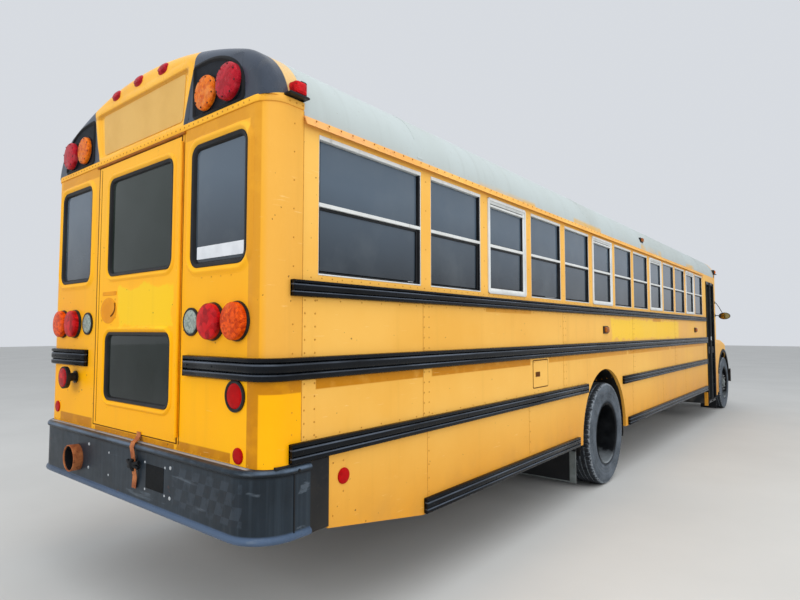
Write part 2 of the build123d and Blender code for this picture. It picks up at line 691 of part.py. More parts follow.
# Bumpers
def rear_bumper():
    """Wrap-round steel bumper: an outer plan less an inner one, with beads along both edges."""
    def plan(inset):
        half = HALF + 12 - inset
        y_face = REAR_FACE_Y + REAR_BUMPER_REACH - inset
        turn = REAR_BUMPER_RADIUS - inset
        y_turn = y_face - turn
        y_end = REAR_FACE_Y - REAR_BUMPER_SIDE_END
        mid_x = half - turn + turn * math.sqrt(0.5)
        mid_y = y_turn + turn * math.sqrt(0.5)
        edge = Polyline((-half + turn, y_face), (half - turn, y_face))
        edge += ThreePointArc((half - turn, y_face), (mid_x, mid_y), (half, y_turn))
        edge += Polyline((half, y_turn), (half, y_end), (-half, y_end), (-half, y_turn))
        edge += ThreePointArc((-half, y_turn), (-mid_x, mid_y), (-half + turn, y_face))
        return make_face(edge)
    height = REAR_BUMPER_TOP - REAR_BUMPER_BOTTOM
    lift = Pos(0, 0, REAR_BUMPER_BOTTOM)
    shell = extrude(plan(0), height, dir=(0, 0, 1)) - extrude(plan(REAR_BUMPER_PLATE), height,
                                                             dir=(0, 0, 1))
    bead = extrude(plan(-REAR_BUMPER_BEAD_PROUD), REAR_BUMPER_BEAD, dir=(0, 0, 1))
    bead -= extrude(plan(REAR_BUMPER_PLATE), REAR_BUMPER_BEAD, dir=(0, 0, 1))
    bead &= block(-HALF - 30, HALF + 30, -200, REAR_BUMPER_SIDE_END, 0, REAR_BUMPER_BEAD)
    shell += bead + Pos(0, 0, height - REAR_BUMPER_BEAD) * bead
    shell = lift * shell
    pipe_hole = rod_y(TAILPIPE_X, -REAR_BUMPER_REACH - 1, 60, TAILPIPE_Z, TAILPIPE_RADIUS + 12)
    plate = block(HALF - SKIRT_THICK, HALF + CORNER_PLATE_PROUD,
                  REAR_BUMPER_SIDE_END + CORNER_PLATE_GAP, SKIRT_START,
                  REAR_BUMPER_BOTTOM, SKIRT_TOP)
    return group(shell - pipe_hole, both_sides(plate))


def front_bumper():
    """Channel across the front whose ends sweep back."""
    face = FRONT_END
    back = face - FRONT_BUMPER_DEPTH
    y_face, y_back = REAR_FACE_Y - face, REAR_FACE_Y - back
    sweep = 130
    outline = Polyline((-HALF + 200, y_face), (HALF - 200, y_face), (HALF, y_face + sweep),
                       (HALF, y_back + sweep), (HALF - 200, y_back), (-HALF + 200, y_back),
                       (-HALF, y_back + sweep), (-HALF, y_face + sweep), close=True)
    bar = Pos(0, 0, FRONT_BUMPER_BOTTOM) * extrude(make_face(outline),
                                                  FRONT_BUMPER_TOP - FRONT_BUMPER_BOTTOM,
                                                  dir=(0, 0, 1))
    return bar


# Lamps
TAIL_Z = 1650
WARNING_Z = BODY_HEIGHT - 330
WARNING_DIAMETER = 190
LAMP_EDGE = 4
RED_WARNING_X = HALF - 312
AMBER_WARNING_X = HALF - 514
LAMPS_RED = (
    # x, z, diameter, proud
    (HALF - 419, TAIL_Z, 185, 19),
    (RED_WARNING_X, WARNING_Z, WARNING_DIAMETER, -LAMP_EDGE),
)
LAMPS_AMBER = (
    # x, z, diameter, proud
    (HALF - 212, TAIL_Z, 187, 19),
    (AMBER_WARNING_X, WARNING_Z, WARNING_DIAMETER, -LAMP_EDGE),
)
LAMPS_CLEAR = (
    # x, z, diameter, proud
    (HALF - 604, TAIL_Z, 140, 8),
)


def round_lamps(table):
    lamps = []
    for x, z, diameter, proud in table:
        seat = SIGN_RECESS if z > CAP_BOTTOM else 0
        for side in (-1, 1):
            lens = rod_y(side * x, -proud, seat, z, diameter / 2)
            lamps.append(fillet(lens.edges().group_by(Axis.Y)[-1], LAMP_EDGE))
    return lamps


def front_warning(x):
    return [rod_y(side * x, BODY_FRONT - SIGN_RECESS, BODY_FRONT + LAMP_EDGE, WARNING_Z,
                  WARNING_DIAMETER / 2) for side in (-1, 1)]


STUB_X = HALF - 439
STUB_Z = 1300
STUB_REACH = 88


def stub_lamp():
    """Round lamp on a short stalk, left of the rear door."""
    stalk = rod_y(STUB_X, -STUB_REACH + 30, 0, STUB_Z, 30)
    return stalk + rod_y(STUB_X, -STUB_REACH, -STUB_REACH + 30, STUB_Z, 70)


# Axles, hubs and wheels
def tyre(outer_x):
    """One tyre turned about its axle, from arcs and lines, at the left side."""
    half = TYRE_WIDTH / 2
    shoulder = TYRE_RADIUS - 22
    belly = (RIM_RADIUS + shoulder) / 2 + 10
    profile = Polyline((-half + 42, RIM_RADIUS), (half - 42, RIM_RADIUS))
    profile += ThreePointArc((half - 42, RIM_RADIUS), (half, belly), (half - 16, shoulder))
    profile += Polyline((half - 16, shoulder), (half - 42, TYRE_RADIUS), (-half + 42, TYRE_RADIUS),
                        (-half + 16, shoulder))
    profile += ThreePointArc((-half + 16, shoulder), (-half, belly), (-half + 42, RIM_RADIUS))
    return Pos(outer_x - half, 0, 0) * revolve(make_face(profile), Axis.X)


def barrel(outer_x):
    """Rim barrel under one tyre, turned about X."""
    half = TYRE_WIDTH / 2
    centre = outer_x - half
    reach = half - BEAD_INSET
    inner = RIM_RADIUS - RIM_PLATE
    ring = [(centre - reach, RIM_RADIUS - FIT), (centre + reach, RIM_RADIUS - FIT),
            (centre + reach, inner), (centre - reach, inner)]
    return revolve(make_face(Polyline(*ring, close=True)), Axis.X)


def dished_disc(mount_x, edge_x, lip):
    """Disc that bolts up at mount_x and cones out to the barrel at edge_x; lip is its thickness."""
    bore = SPINDLE_RADIUS + RUNNING_FIT
    inner = RIM_RADIUS - RIM_PLATE + 1
    outline = [(mount_x, bore), (mount_x, DISC_FLAT_RADIUS), (edge_x, inner), (edge_x + lip, inner),
               (mount_x + lip, DISC_FLAT_RADIUS), (mount_x + lip, bore)]
    return revolve(make_face(Polyline(*outline, close=True)), Axis.X)


BEAD_INSET = 42
DISC_FLAT_RADIUS = 200
DUAL_PLANE_X = TYRE_OUTER_X - TYRE_WIDTH / 2 - DUAL_SPACING / 2
PINION_REACH = 300
SHAFT_Z = TYRE_RADIUS + 60
HUB_LENGTH = 150
DISC_LAP = 20


def hub(x0, x1):
    bore = SPINDLE_RADIUS + RUNNING_FIT
    outline = [(x0, bore), (x1, bore), (x1, HUB_RADIUS), (x0, HUB_RADIUS)]
    return revolve(make_face(Polyline(*outline, close=True)), Axis.X)


def at_axle(shape, station, side):
    placed = Pos(0, REAR_FACE_Y - station, TYRE_RADIUS) * shape
    return placed if side > 0 else mirror(placed, Plane.YZ)


def rear_wheels(side):
    rise = DUAL_SPACING / 2 - TYRE_WIDTH / 2 + BEAD_INSET + DISC_LAP
    wheel = barrel(TYRE_OUTER_X) + barrel(TYRE_OUTER_X - DUAL_SPACING)
    wheel += dished_disc(DUAL_PLANE_X, DUAL_PLANE_X + rise, RIM_PLATE)
    wheel += dished_disc(DUAL_PLANE_X, DUAL_PLANE_X - rise, -RIM_PLATE)
    wheel += hub(DUAL_PLANE_X - HUB_LENGTH, DUAL_PLANE_X + HUB_LENGTH)
    return at_axle(wheel, REAR_AXLE, side)


FRONT_DISC_X = TYRE_OUTER_X - 40
FRONT_HUB_LENGTH = 170


def front_wheel(side):
    edge = TYRE_OUTER_X - BEAD_INSET - DISC_LAP
    wheel = barrel(TYRE_OUTER_X) + dished_disc(FRONT_DISC_X, edge, -RIM_PLATE)
    wheel += hub(FRONT_DISC_X - FRONT_HUB_LENGTH, FRONT_DISC_X + 30)
    return at_axle(wheel, FRONT_AXLE, side)


def rear_axle():
    """Housing with its differential bulb and the two spindles, turned about the axle line."""
    end = DUAL_PLANE_X + HUB_LENGTH - 20
    flange = DUAL_PLANE_X - HUB_LENGTH - 8
    half = [(90, 175), (175, 75), (flange, 75), (flange, SPINDLE_RADIUS), (end, SPINDLE_RADIUS)]
    outline = [(-end, 0)] + [(-x, r) for x, r in reversed(half)] + half + [(end, 0)]
    housing = at_axle(revolve(make_face(Polyline(*outline, close=True)), Axis.X), REAR_AXLE, 1)
    return housing + rod_y(0, REAR_AXLE, REAR_AXLE + PINION_REACH, SHAFT_Z, 60)


def front_axle():
    """Dropped beam with an eye and a kingpin at each end."""
    eye_top = TYRE_RADIUS + KINGPIN_EYE_HEIGHT / 2
    eye_bottom = TYRE_RADIUS - KINGPIN_EYE_HEIGHT / 2
    beam = block(-KINGPIN_X + 20, KINGPIN_X - 20, FRONT_AXLE - 40, FRONT_AXLE + 40,
                 TYRE_RADIUS - 50, TYRE_RADIUS + 45)
    for side in (-1, 1):
        beam += rod_z(side * KINGPIN_X, FRONT_AXLE, eye_bottom, eye_top, KINGPIN_EYE_RADIUS)
        beam += rod_z(side * KINGPIN_X, FRONT_AXLE, eye_bottom - 32, eye_top + 32, KINGPIN_RADIUS)
    return beam


LUG_HEIGHT = 32
LUG_CLEAR = 0.5


def knuckle(side):
    """Fork round the kingpin eye, a spindle outwards and the steering arm to the rear."""
    half = KINGPIN_EYE_HEIGHT / 2
    outer = KINGPIN_X + KINGPIN_EYE_RADIUS
    shape = None
    for low in (TYRE_RADIUS + half + LUG_CLEAR, TYRE_RADIUS - half - LUG_CLEAR - LUG_HEIGHT):
        lug = rod_z(KINGPIN_X, FRONT_AXLE, low, low + LUG_HEIGHT, KINGPIN_EYE_RADIUS)
        lug += block(KINGPIN_X, outer + 30, FRONT_AXLE - 40, FRONT_AXLE + 40, low, low + LUG_HEIGHT)
        shape = lug if shape is None else shape + lug
    shape += block(outer + 8, outer + 30, FRONT_AXLE - 40, FRONT_AXLE + 40,
                   TYRE_RADIUS - half - LUG_CLEAR - LUG_HEIGHT,
                   TYRE_RADIUS + half + LUG_CLEAR + LUG_HEIGHT)
    shape += rod_x(outer + 30, FRONT_DISC_X + 20, FRONT_AXLE, TYRE_RADIUS, SPINDLE_RADIUS)
    arm_z = TYRE_RADIUS - STEER_ARM_DROP - 25
    lug_low = TYRE_RADIUS - half - LUG_CLEAR - LUG_HEIGHT
    shape += block(KINGPIN_X - 25, KINGPIN_X + 25, FRONT_AXLE - STEER_ARM, FRONT_AXLE - 20,
                   arm_z, arm_z + 25)
    shape += rod_z(KINGPIN_X, FRONT_AXLE - STEER_ARM, arm_z, arm_z + 25, 28)
    shape += rod_z(KINGPIN_X, FRONT_AXLE, arm_z, lug_low + 1, 40)
    shape -= rod_z(KINGPIN_X, FRONT_AXLE, 0, BODY_HEIGHT, KINGPIN_RADIUS + RUNNING_FIT)
    return shape if side > 0 else mirror(shape, Plane.YZ)


def tie_rod():
    """Cross tube between the two steering arms, hung under their ends."""
    arm_z = TYRE_RADIUS - STEER_ARM_DROP - 25
    station = FRONT_AXLE - STEER_ARM
    top = arm_z - FIT
    tube = rod_x(-KINGPIN_X, KINGPIN_X, station, top - 25, 20)
    for side in (-1, 1):
        tube += rod_z(side * KINGPIN_X, station, top - 50, top, 28)
    return tube


SPRING_X = FRAME_HALF_WIDTH + 48
SPRING_WIDTH = 76
HANGER = 70


def leaf_springs():
    """Curved leaf packs of both axles, each a thick arc between its two hangers."""
    packs = []
    for station, seat_z, span in ((REAR_AXLE, TYRE_RADIUS + 75, 1300),
                                  (FRONT_AXLE, TYRE_RADIUS + 45, 1200)):
        for side in (-1, 1):
            x0 = side * (SPRING_X - SPRING_WIDTH / 2)
            x1 = side * (SPRING_X + SPRING_WIDTH / 2)
            half = span / 2
            points = [(station - half, seat_z + 75), (station - half, seat_z + 95),
                      (station - 60, seat_z + 70), (station + 60, seat_z + 70),
                      (station + half, seat_z + 95), (station + half, seat_z + 75),
                      (station + 150, seat_z + FIT), (station - 150, seat_z + FIT)]
            pack = side_plate(points, x0, x1)
            for end in (station - half, station + half - HANGER):
                pack += block(side * FRAME_HALF_WIDTH, x1, end, end + HANGER, seat_z + 85,
                              seat_z + 200)
            packs.append(pack)
    return group(*packs)


def drive_shaft():
    """Tube from the gearbox to the axle's pinion nose."""
    return rod_y(0, REAR_AXLE + PINION_REACH + FIT, GEARBOX_REAR - FIT, SHAFT_Z, 55)


# Engine with gearbox, mounting feet and radiator
ENGINE_HALF = FRAME_HALF_WIDTH - 142
ENGINE_TOP = 1370
RADIATOR_HALF = FRAME_HALF_WIDTH - 92
ENGINE_BLOCKS = (
    # half width, start and end ahead of the front axle, bottom, top
    (ENGINE_HALF, -560, 430, 760, ENGINE_TOP),
    (160, GEARBOX_REAR - FRONT_AXLE, -550, SHAFT_Z - 70, 900),
    (RADIATOR_HALF, 470, 560, 850, ENGINE_TOP),
    (80, 400, 500, 980, 1140),
    (FRAME_HALF_WIDTH - FRAME_PLATE, -60, 60, 790, 850),
)


def engine_block():
    """Engine, gearbox, radiator, fan hub and the mounting beam between the frame's rails."""
    shape = None
    for half, start, end, bottom, top in ENGINE_BLOCKS:
        part = block(-half, half, FRONT_AXLE + start, FRONT_AXLE + end, bottom, top)
        shape = part if shape is None else shape + part
    return shape


BOX_BRACKET = 60
TANK_INNER = FRAME_HALF_WIDTH + 28
TANK_OUTER = HALF - 139
BATTERY_OUTER = HALF - 159
BOX_TOP = 900
TANK_START = REAR_AXLE + 2550
TANK_LENGTH = 1250
TANK_BOTTOM = 480
TANK_EDGE = 60
BATTERY_START = REAR_AXLE + 2850
BATTERY_LENGTH = 700
BATTERY_BOTTOM = 560
BATTERY_EDGE = 15


def hung_box(side, outer_x, inner_x, start, end, bottom, top, radius):
    """Box beside the frame, its edges rounded, on two brackets that meet the rail's web."""
    box = block(side * inner_x, side * outer_x, start, end, bottom, top)
    box = fillet(box.edges().filter_by(Axis.Y), radius)
    for station in (start + 150, end - 150 - BOX_BRACKET):
        box += block(side * FRAME_HALF_WIDTH, side * (inner_x + radius), station,
                     station + BOX_BRACKET, top - 140, top - 80)
    return box


def fuel_tank():
    return hung_box(-1, TANK_OUTER, TANK_INNER, TANK_START, TANK_START + TANK_LENGTH,
                    TANK_BOTTOM, BOX_TOP, TANK_EDGE)


def battery_box():
    return hung_box(1, BATTERY_OUTER, TANK_INNER, BATTERY_START, BATTERY_START + BATTERY_LENGTH,
                    BATTERY_BOTTOM, BOX_TOP, BATTERY_EDGE)


EXHAUST_END = REAR_AXLE - 1850
TIP_STEP = 2


def exhaust_pipe():
    """Tail pipe with a wider tip that leaves through the bumper, hung beside the left rail."""
    tail = -REAR_BUMPER_REACH - TAILPIPE_REACH
    pipe = rod_y(TAILPIPE_X, tail, EXHAUST_END, TAILPIPE_Z, TAILPIPE_RADIUS - TIP_STEP)
    pipe += rod_y(TAILPIPE_X, tail, tail + TAILPIPE_TIP, TAILPIPE_Z, TAILPIPE_RADIUS)
    for station in (700, EXHAUST_END - 300):
        pipe += block(FRAME_HALF_WIDTH, TAILPIPE_X, station, station + 40, TAILPIPE_Z - 12,
                      TAILPIPE_Z + 12)
    bore = TAILPIPE_RADIUS - TIP_STEP - TAILPIPE_WALL
    return pipe - rod_y(TAILPIPE_X, tail - 1, 400, TAILPIPE_Z, bore)


FLAP_OUTER_X = HALF - 39
FLAP_THICK = 8
FLAP_TOP = 640
FLAP_STEM_INSET = 100
FLAPS = (
    # station, inner x, bottom
    (REAR_AXLE - 803, TYRE_OUTER_X - 625, 165),
    (BODY_FRONT - 55, HALF - 319, 80),
)


def mud_flaps():
    flaps = []
    for station, x0, low in FLAPS:
        flap = block(x0, FLAP_OUTER_X, station, station + FLAP_THICK, low, FLAP_TOP)
        flap += block(x0 + FLAP_STEM_INSET, FLAP_OUTER_X - 60, station, station + FLAP_THICK,
                      FLAP_TOP, DECK_BOTTOM)
        flaps.append(both_sides(flap))
    return group(*flaps)


# Bonnet with its fenders, grille and head lamps


def eased(form, beyond, above, radius):
    """Round a form's upper edges that lie further out than one X and higher than one height."""
    edges = [e for e in form.edges() if abs(e.center().X) > beyond and e.center().Z > above]
    return fillet(edges, radius)


def bonnet_form(inset):
    """Outer form less an inset on every side: middle ridge and the pair of fenders."""
    s0 = BONNET_START - (1 if inset else 0)
    ridge = [(s0, 0), (s0, 1600 - inset), (NOSE - 150, 1500 - inset),
             (NOSE - inset, 1400 - inset), (NOSE - inset, 0)]
    fender = [(s0, 0), (s0, 1430 - inset), (BONNET_START + 700, 1410 - inset),
              (NOSE - 330, 1330 - inset), (NOSE - FENDER_SETBACK - inset, 1180 - inset),
              (NOSE - FENDER_SETBACK - inset, 0)]
    wide = FENDER_HALF_WIDTH - inset
    form = side_plate(ridge, -BONNET_HALF_WIDTH + inset, BONNET_HALF_WIDTH - inset)
    form = eased(form, BONNET_HALF_WIDTH / 2, 1300, BONNET_EDGE - inset)
    flank = side_plate(fender, -wide, wide)
    nose_x = wide - FENDER_NOSE_INSET
    y0, y1 = REAR_FACE_Y - s0, REAR_FACE_Y - NOSE
    plan = Polyline((-wide, y0), (-wide, y1 + FENDER_TAPER), (-nose_x, y1), (nose_x, y1),
                    (wide, y1 + FENDER_TAPER), (wide, y0), close=True)
    flank &= extrude(make_face(plan), BODY_HEIGHT, dir=(0, 0, 1))
    flank = eased(flank, nose_x / 2, 1200, FENDER_EDGE - inset)
    return form + flank


def bonnet_shell():
    shell = bonnet_form(0) - bonnet_form(BONNET_WALL)
    shell -= rod_x(-HALF, -BONNET_HALF_WIDTH - 1, FRONT_AXLE, TYRE_RADIUS, FRONT_ARCH_RADIUS)
    shell -= rod_x(BONNET_HALF_WIDTH + 1, HALF, FRONT_AXLE, TYRE_RADIUS, FRONT_ARCH_RADIUS)
    behind = BONNET_START + 130
    shell -= block(-HALF, HALF, BONNET_START - 5, behind, 0, 380)
    shell -= block(-HALF, HALF, behind, NOSE + 1, 0, 830)
    low_rear = block(-HALF, HALF, BONNET_START - 5, BONNET_PIVOT_STATION, 0, BONNET_PIVOT_Z)
    sweep = BONNET_PIVOT_STATION - BODY_FRONT - BONNET_SWING_CLEAR
    shell -= low_rear - rod_x(-HALF - 5, HALF + 5, BONNET_PIVOT_STATION, BONNET_PIVOT_Z, sweep)
    shell -= block(-GRILLE_HALF, GRILLE_HALF, NOSE - BONNET_WALL - 1, NOSE + 1, GRILLE_BOTTOM,
                   GRILLE_TOP)
    for side in (-1, 1):
        shell += block(side * LUG_X, side * (LUG_X + LUG_THICK), NOSE - BONNET_WALL,
                       BONNET_PIVOT_STATION + PIVOT_RADIUS, BONNET_PIVOT_Z - PIVOT_RADIUS,
                       BONNET_PIVOT_Z + 55)
        shell += rod_x(side * LUG_X, side * FRAME_HALF_WIDTH, BONNET_PIVOT_STATION, BONNET_PIVOT_Z,
                       PIVOT_RADIUS)
    return shell


GRILLE_HALF = BONNET_HALF_WIDTH - 80
GRILLE_BOTTOM = 900
GRILLE_TOP = 1300
GRILLE_RIM = 30
GRILLE_BARS = 8
GRILLE_BAR_HALF = 7


def grille():
    """Upright frame with level bars, set in the nose's opening."""
    half = GRILLE_HALF - GRILLE_RIM
    low, high = GRILLE_BOTTOM + GRILLE_RIM, GRILLE_TOP - GRILLE_RIM
    frame = block(-GRILLE_HALF + FIT, GRILLE_HALF - FIT, NOSE - 40, NOSE, GRILLE_BOTTOM + FIT,
                  GRILLE_TOP - FIT)
    frame -= block(-half, half, NOSE - 41, NOSE + 1, low, high)
    pitch = (high - low) / (GRILLE_BARS + 1)
    for bar in range(1, GRILLE_BARS + 1):
        z = low + bar * pitch
        frame += block(-half, half, NOSE - 30, NOSE - 12, z - GRILLE_BAR_HALF, z + GRILLE_BAR_HALF)
    return frame


HEADLAMP_Z = 1050
HEADLAMP_RADIUS = 95
HEADLAMP_INBOARD = 45
HEADLAMP_X = (BONNET_HALF_WIDTH + FENDER_HALF_WIDTH - FENDER_NOSE_INSET) / 2 - HEADLAMP_INBOARD


def headlamps():
    face = NOSE - FENDER_SETBACK
    return both_sides(rod_y(HEADLAMP_X, face, face + 40, HEADLAMP_Z, HEADLAMP_RADIUS))


# Stop arm folded against the left side
STOP_HINGE_STATION = BODY_FRONT - 1569
STOP_BARREL = 120
STOP_BARREL_RADIUS = 11
STOP_OFF = 48
STOP_THICK = 14
STOP_SIZE = 450
STOP_Z = 1622


def stop_arm():
    """Blank octagon on a short arm whose barrel stands between the bracket's two lugs."""
    radius = STOP_SIZE / 2 / math.cos(math.pi / 8)
    x = HALF + STOP_OFF
    octagon = extrude(Plane.YZ * Rot(0, 0, 22.5) * RegularPolygon(radius, 8), STOP_THICK,
                      dir=(1, 0, 0))
    centre = STOP_HINGE_STATION + 60 + STOP_SIZE / 2
    plate = Pos(x, REAR_FACE_Y - centre, STOP_Z) * octagon
    arm = block(x, x + STOP_THICK, STOP_HINGE_STATION, STOP_HINGE_STATION + 80,
                STOP_Z - STOP_BARREL / 2, STOP_Z + STOP_BARREL / 2)
    barrel = rod_z(x + STOP_THICK / 2, STOP_HINGE_STATION, STOP_Z - STOP_BARREL / 2,
                   STOP_Z + STOP_BARREL / 2, STOP_BARREL_RADIUS)
    return plate + arm + barrel


def stop_bracket():
    x = HALF + STOP_OFF + STOP_THICK / 2 + STOP_BARREL_RADIUS
    low = STOP_Z - STOP_BARREL / 2 - FIT
    high = STOP_Z + STOP_BARREL / 2 + FIT
    plate = block(HALF, HALF + 8, STOP_HINGE_STATION - 60, STOP_HINGE_STATION + 20, low - 20,
                  high + 20)
    for z in (low - 20, high):
        plate += block(HALF, x, STOP_HINGE_STATION - 20, STOP_HINGE_STATION + 12, z, z + 20)
    return plate


# Seats, driver's place and mirrors
SEAT_DEPTH = 400
SEAT_Z = 1430
SEAT_BACK_TOP = 1830
SEAT_START = 420
SEAT_WALL_GAP = 34
AISLE_HALF = 190
ENTRY_SPACE = 1200
SEAT_ROWS = int((ENTRANCE_START - SEAT_START - ENTRY_SPACE) / SECTION_PITCH) + 1
CUSHION = 110
SEAT_SLOPE = 40
SEAT_NOOK = 90


def seats(side):
    """Benches of one side, each on its aisle pedestal."""
    benches = []
    x0 = side * AISLE_HALF
    x1 = side * (INSIDE - SEAT_WALL_GAP)
    for row in range(SEAT_ROWS):
        rear = SEAT_START + row * SECTION_PITCH
        front = rear + SEAT_NOOK + SEAT_DEPTH
        bench = side_plate([(rear, SEAT_Z - CUSHION), (rear - SEAT_SLOPE, SEAT_BACK_TOP),
                            (rear + SEAT_SLOPE, SEAT_BACK_TOP), (rear + SEAT_NOOK, SEAT_Z),
                            (front, SEAT_Z + 10), (front, SEAT_Z - CUSHION)], x0, x1)
        bench += block(side * (AISLE_HALF + 60), side * (AISLE_HALF + 100), rear + 60,
                       front - 70, FLOOR_TOP, SEAT_Z - CUSHION)
        benches.append(bench)
    return group(*benches)


DRIVER_X = HALF - 599
DRIVER_STATION = BODY_FRONT - 1135
DRIVER_SEAT_HALF = 240
DRIVER_SEAT_Z = 1500
DRIVER_CUSHION = 120
WHEEL_STATION = BODY_FRONT - 485
WHEEL_Z = 1710
WHEEL_RADIUS = 225


def driver_seat():
    x0, x1 = DRIVER_X - DRIVER_SEAT_HALF, DRIVER_X + DRIVER_SEAT_HALF
    s = DRIVER_STATION
    low = DRIVER_SEAT_Z - DRIVER_CUSHION
    seat = block(x0, x1, s, s + 460, low, DRIVER_SEAT_Z)
    seat += block(x0, x1, s - 100, s + 10, low, DRIVER_SEAT_Z + 550)
    return seat + block(DRIVER_X - 100, DRIVER_X + 100, s + 100, s + 300, FLOOR_TOP, low)


def dashboard():
    """Dash shelf, and the steering wheel on its column."""
    dash = block(150, HALF - 159, BODY_FRONT - 420, BODY_FRONT - WALL, 1300, 1600)
    column = rod_z(DRIVER_X, WHEEL_STATION, FLOOR_TOP, WHEEL_Z - 10, 25)
    wheel = Pos(DRIVER_X, REAR_FACE_Y - WHEEL_STATION, WHEEL_Z) * Torus(WHEEL_RADIUS, 16)
    spokes = block(DRIVER_X - WHEEL_RADIUS, DRIVER_X + WHEEL_RADIUS, WHEEL_STATION - 20,
                   WHEEL_STATION + 20, WHEEL_Z - 10, WHEEL_Z + 2)
    return dash + column + spokes + wheel


MIRROR_OUT = 60
MIRROR_X = HALF + 101
MIRROR_WIDE = 105
MIRROR_TALL = 70
MIRROR_DEPTH = 60
MIRROR_STATION = BODY_FRONT + 265
MIRROR_Z = 1895


def mirrors():
    """Cross-view mirrors on rods from the front corner posts."""
    shapes = []
    for side in (-1, 1):
        oval = extrude(Plane.XZ * Ellipse(MIRROR_WIDE, MIRROR_TALL), MIRROR_DEPTH / 2, both=True)
        head = Pos(side * MIRROR_X, REAR_FACE_Y - MIRROR_STATION, MIRROR_Z) * oval
        start = BODY_FRONT - CORNER_RADIUS - 40
        arm = rod_y(side * (HALF + MIRROR_OUT), start, MIRROR_STATION, MIRROR_Z, 8)
        foot = rod_x(side * HALF, side * (HALF + MIRROR_OUT + 15), start, MIRROR_Z, 12)
        shapes.append(head + arm + foot)
    return group(*shapes)


save("chassis_frame", chassis_frame())
save("body_floor", body_floor())
save("wheelhouses", wheelhouses())
save("side_wall_right", side_wall(-1))
save("side_wall_left", side_wall(1))
save("skirts", skirts())
save("roof_shell", roof_shell())
save("hatch_lid_front", hatch_lid(HATCH_STATIONS[1]))
save("hatch_lid_rear", hatch_lid(HATCH_STATIONS[0]))
save("rear_wall", rear_wall())
save("rear_cap", rear_cap())
save("front_cap", front_cap())
save("cowl", cowl())
save("rub_rails", group(rub_rails(-1), rub_rails(1)))
save("drip_rails", drip_rails())
save("window_frames", group(window_frames(-1), window_frames(1)))
save("window_glass", group(side_glass(-1), side_glass(1), end_glass()))
save("rear_door", rear_door())
save("rear_door_glass", rear_door_glass())
save("entrance_leaf_rear", entrance_leaf(False))
save("entrance_leaf_front", entrance_leaf(True))
save("entrance_glass_rear", entrance_glass(False))
save("entrance_glass_front", entrance_glass(True))
save("step_well", step_well())
save("rear_bumper", rear_bumper())
save("front_bumper", front_bumper())
save("lamps_red", group(*round_lamps(LAMPS_RED), *front_warning(RED_WARNING_X), stub_lamp()))
save("lamps_amber", group(*round_lamps(LAMPS_AMBER), *front_warning(AMBER_WARNING_X)))
save("lamps_clear", group(*round_lamps(LAMPS_CLEAR)))
save("tyres_rear_left", group(at_axle(tyre(TYRE_OUTER_X), REAR_AXLE, 1),
                              at_axle(tyre(TYRE_OUTER_X - DUAL_SPACING), REAR_AXLE, 1)))
save("tyres_rear_right", group(at_axle(tyre(TYRE_OUTER_X), REAR_AXLE, -1),
                               at_axle(tyre(TYRE_OUTER_X - DUAL_SPACING), REAR_AXLE, -1)))
save("rims_rear_left", rear_wheels(1))
save("rims_rear_right", rear_wheels(-1))
save("tyre_front_left", at_axle(tyre(TYRE_OUTER_X), FRONT_AXLE, 1))
save("tyre_front_right", at_axle(tyre(TYRE_OUTER_X), FRONT_AXLE, -1))
save("rim_front_left", front_wheel(1))
save("rim_front_right", front_wheel(-1))
save("rear_axle", rear_axle())
save("front_axle", front_axle())
save("knuckle_left", knuckle(1))
save("knuckle_right", knuckle(-1))
save("tie_rod", tie_rod())
save("leaf_springs", leaf_springs())
save("drive_shaft", drive_shaft())
save("engine_block", engine_block())
save("fuel_tank", fuel_tank())
save("battery_box", battery_box())
save("exhaust_pipe", exhaust_pipe())
save("mud_flaps", mud_flaps())
save("bonnet_shell", bonnet_shell())
save("grille", grille())
save("headlamps", headlamps())
save("stop_arm", stop_arm())
save("stop_bracket", stop_bracket())
save("seats_right", seats(-1))
save("seats_left", seats(1))
save("driver_seat", driver_seat())
save("dashboard", dashboard())
save("mirrors", mirrors())
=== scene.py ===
import bpy
import bmesh
import math
import numpy as np
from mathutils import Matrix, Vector


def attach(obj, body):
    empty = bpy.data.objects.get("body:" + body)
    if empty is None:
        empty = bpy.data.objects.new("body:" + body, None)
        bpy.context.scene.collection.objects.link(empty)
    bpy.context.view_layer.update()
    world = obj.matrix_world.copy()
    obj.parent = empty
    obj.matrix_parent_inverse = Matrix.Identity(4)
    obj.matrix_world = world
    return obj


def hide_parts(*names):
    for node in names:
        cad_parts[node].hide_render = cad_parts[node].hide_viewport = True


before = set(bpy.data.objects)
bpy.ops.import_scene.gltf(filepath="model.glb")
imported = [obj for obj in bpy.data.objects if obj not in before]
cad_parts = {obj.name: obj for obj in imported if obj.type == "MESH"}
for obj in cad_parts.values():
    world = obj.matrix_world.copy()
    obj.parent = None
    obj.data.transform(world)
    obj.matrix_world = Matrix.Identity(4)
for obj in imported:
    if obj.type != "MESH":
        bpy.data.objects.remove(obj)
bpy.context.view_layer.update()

# Places shared with the construction, in metres. X is negative on the entrance's side, Y falls towards the front,
# and a station is the distance ahead of the rear face.
REAR_Y = 6.2725  # rear face
HALF = 1.219  # half the body's width
CORNER = 0.110  # plan radius of the rear corners
EAVES_Z = 2.632  # foot of the roof's shoulder arcs
ROOF_TOP = 3.150
SHOULDER = 0.375  # radius of the shoulder arcs
CAP_EDGE = 0.070  # radius of both caps' edges
BODY_FRONT = 10.985  # station of the cowl's face
REAR_AXLE = 4.450
FRONT_AXLE = 11.740
AXLE_Z = 0.525
ARCH_STATION = 4.398  # rear wheel arch, its centre and radius
ARCH_Z = 0.540
ARCH_RADIUS = 0.660
FENDER_FACE = 12.400  # station of the fenders' front
PITCH = 0.705  # from one window pillar to the next
FIRST_PILLAR = 1.193
PILLAR = 0.105  # a pillar's width
DOOR_PROUD = 0.003  # the rear door's skin ahead of the rear face
SIDES = ((-1, "right"), (1, "left"))
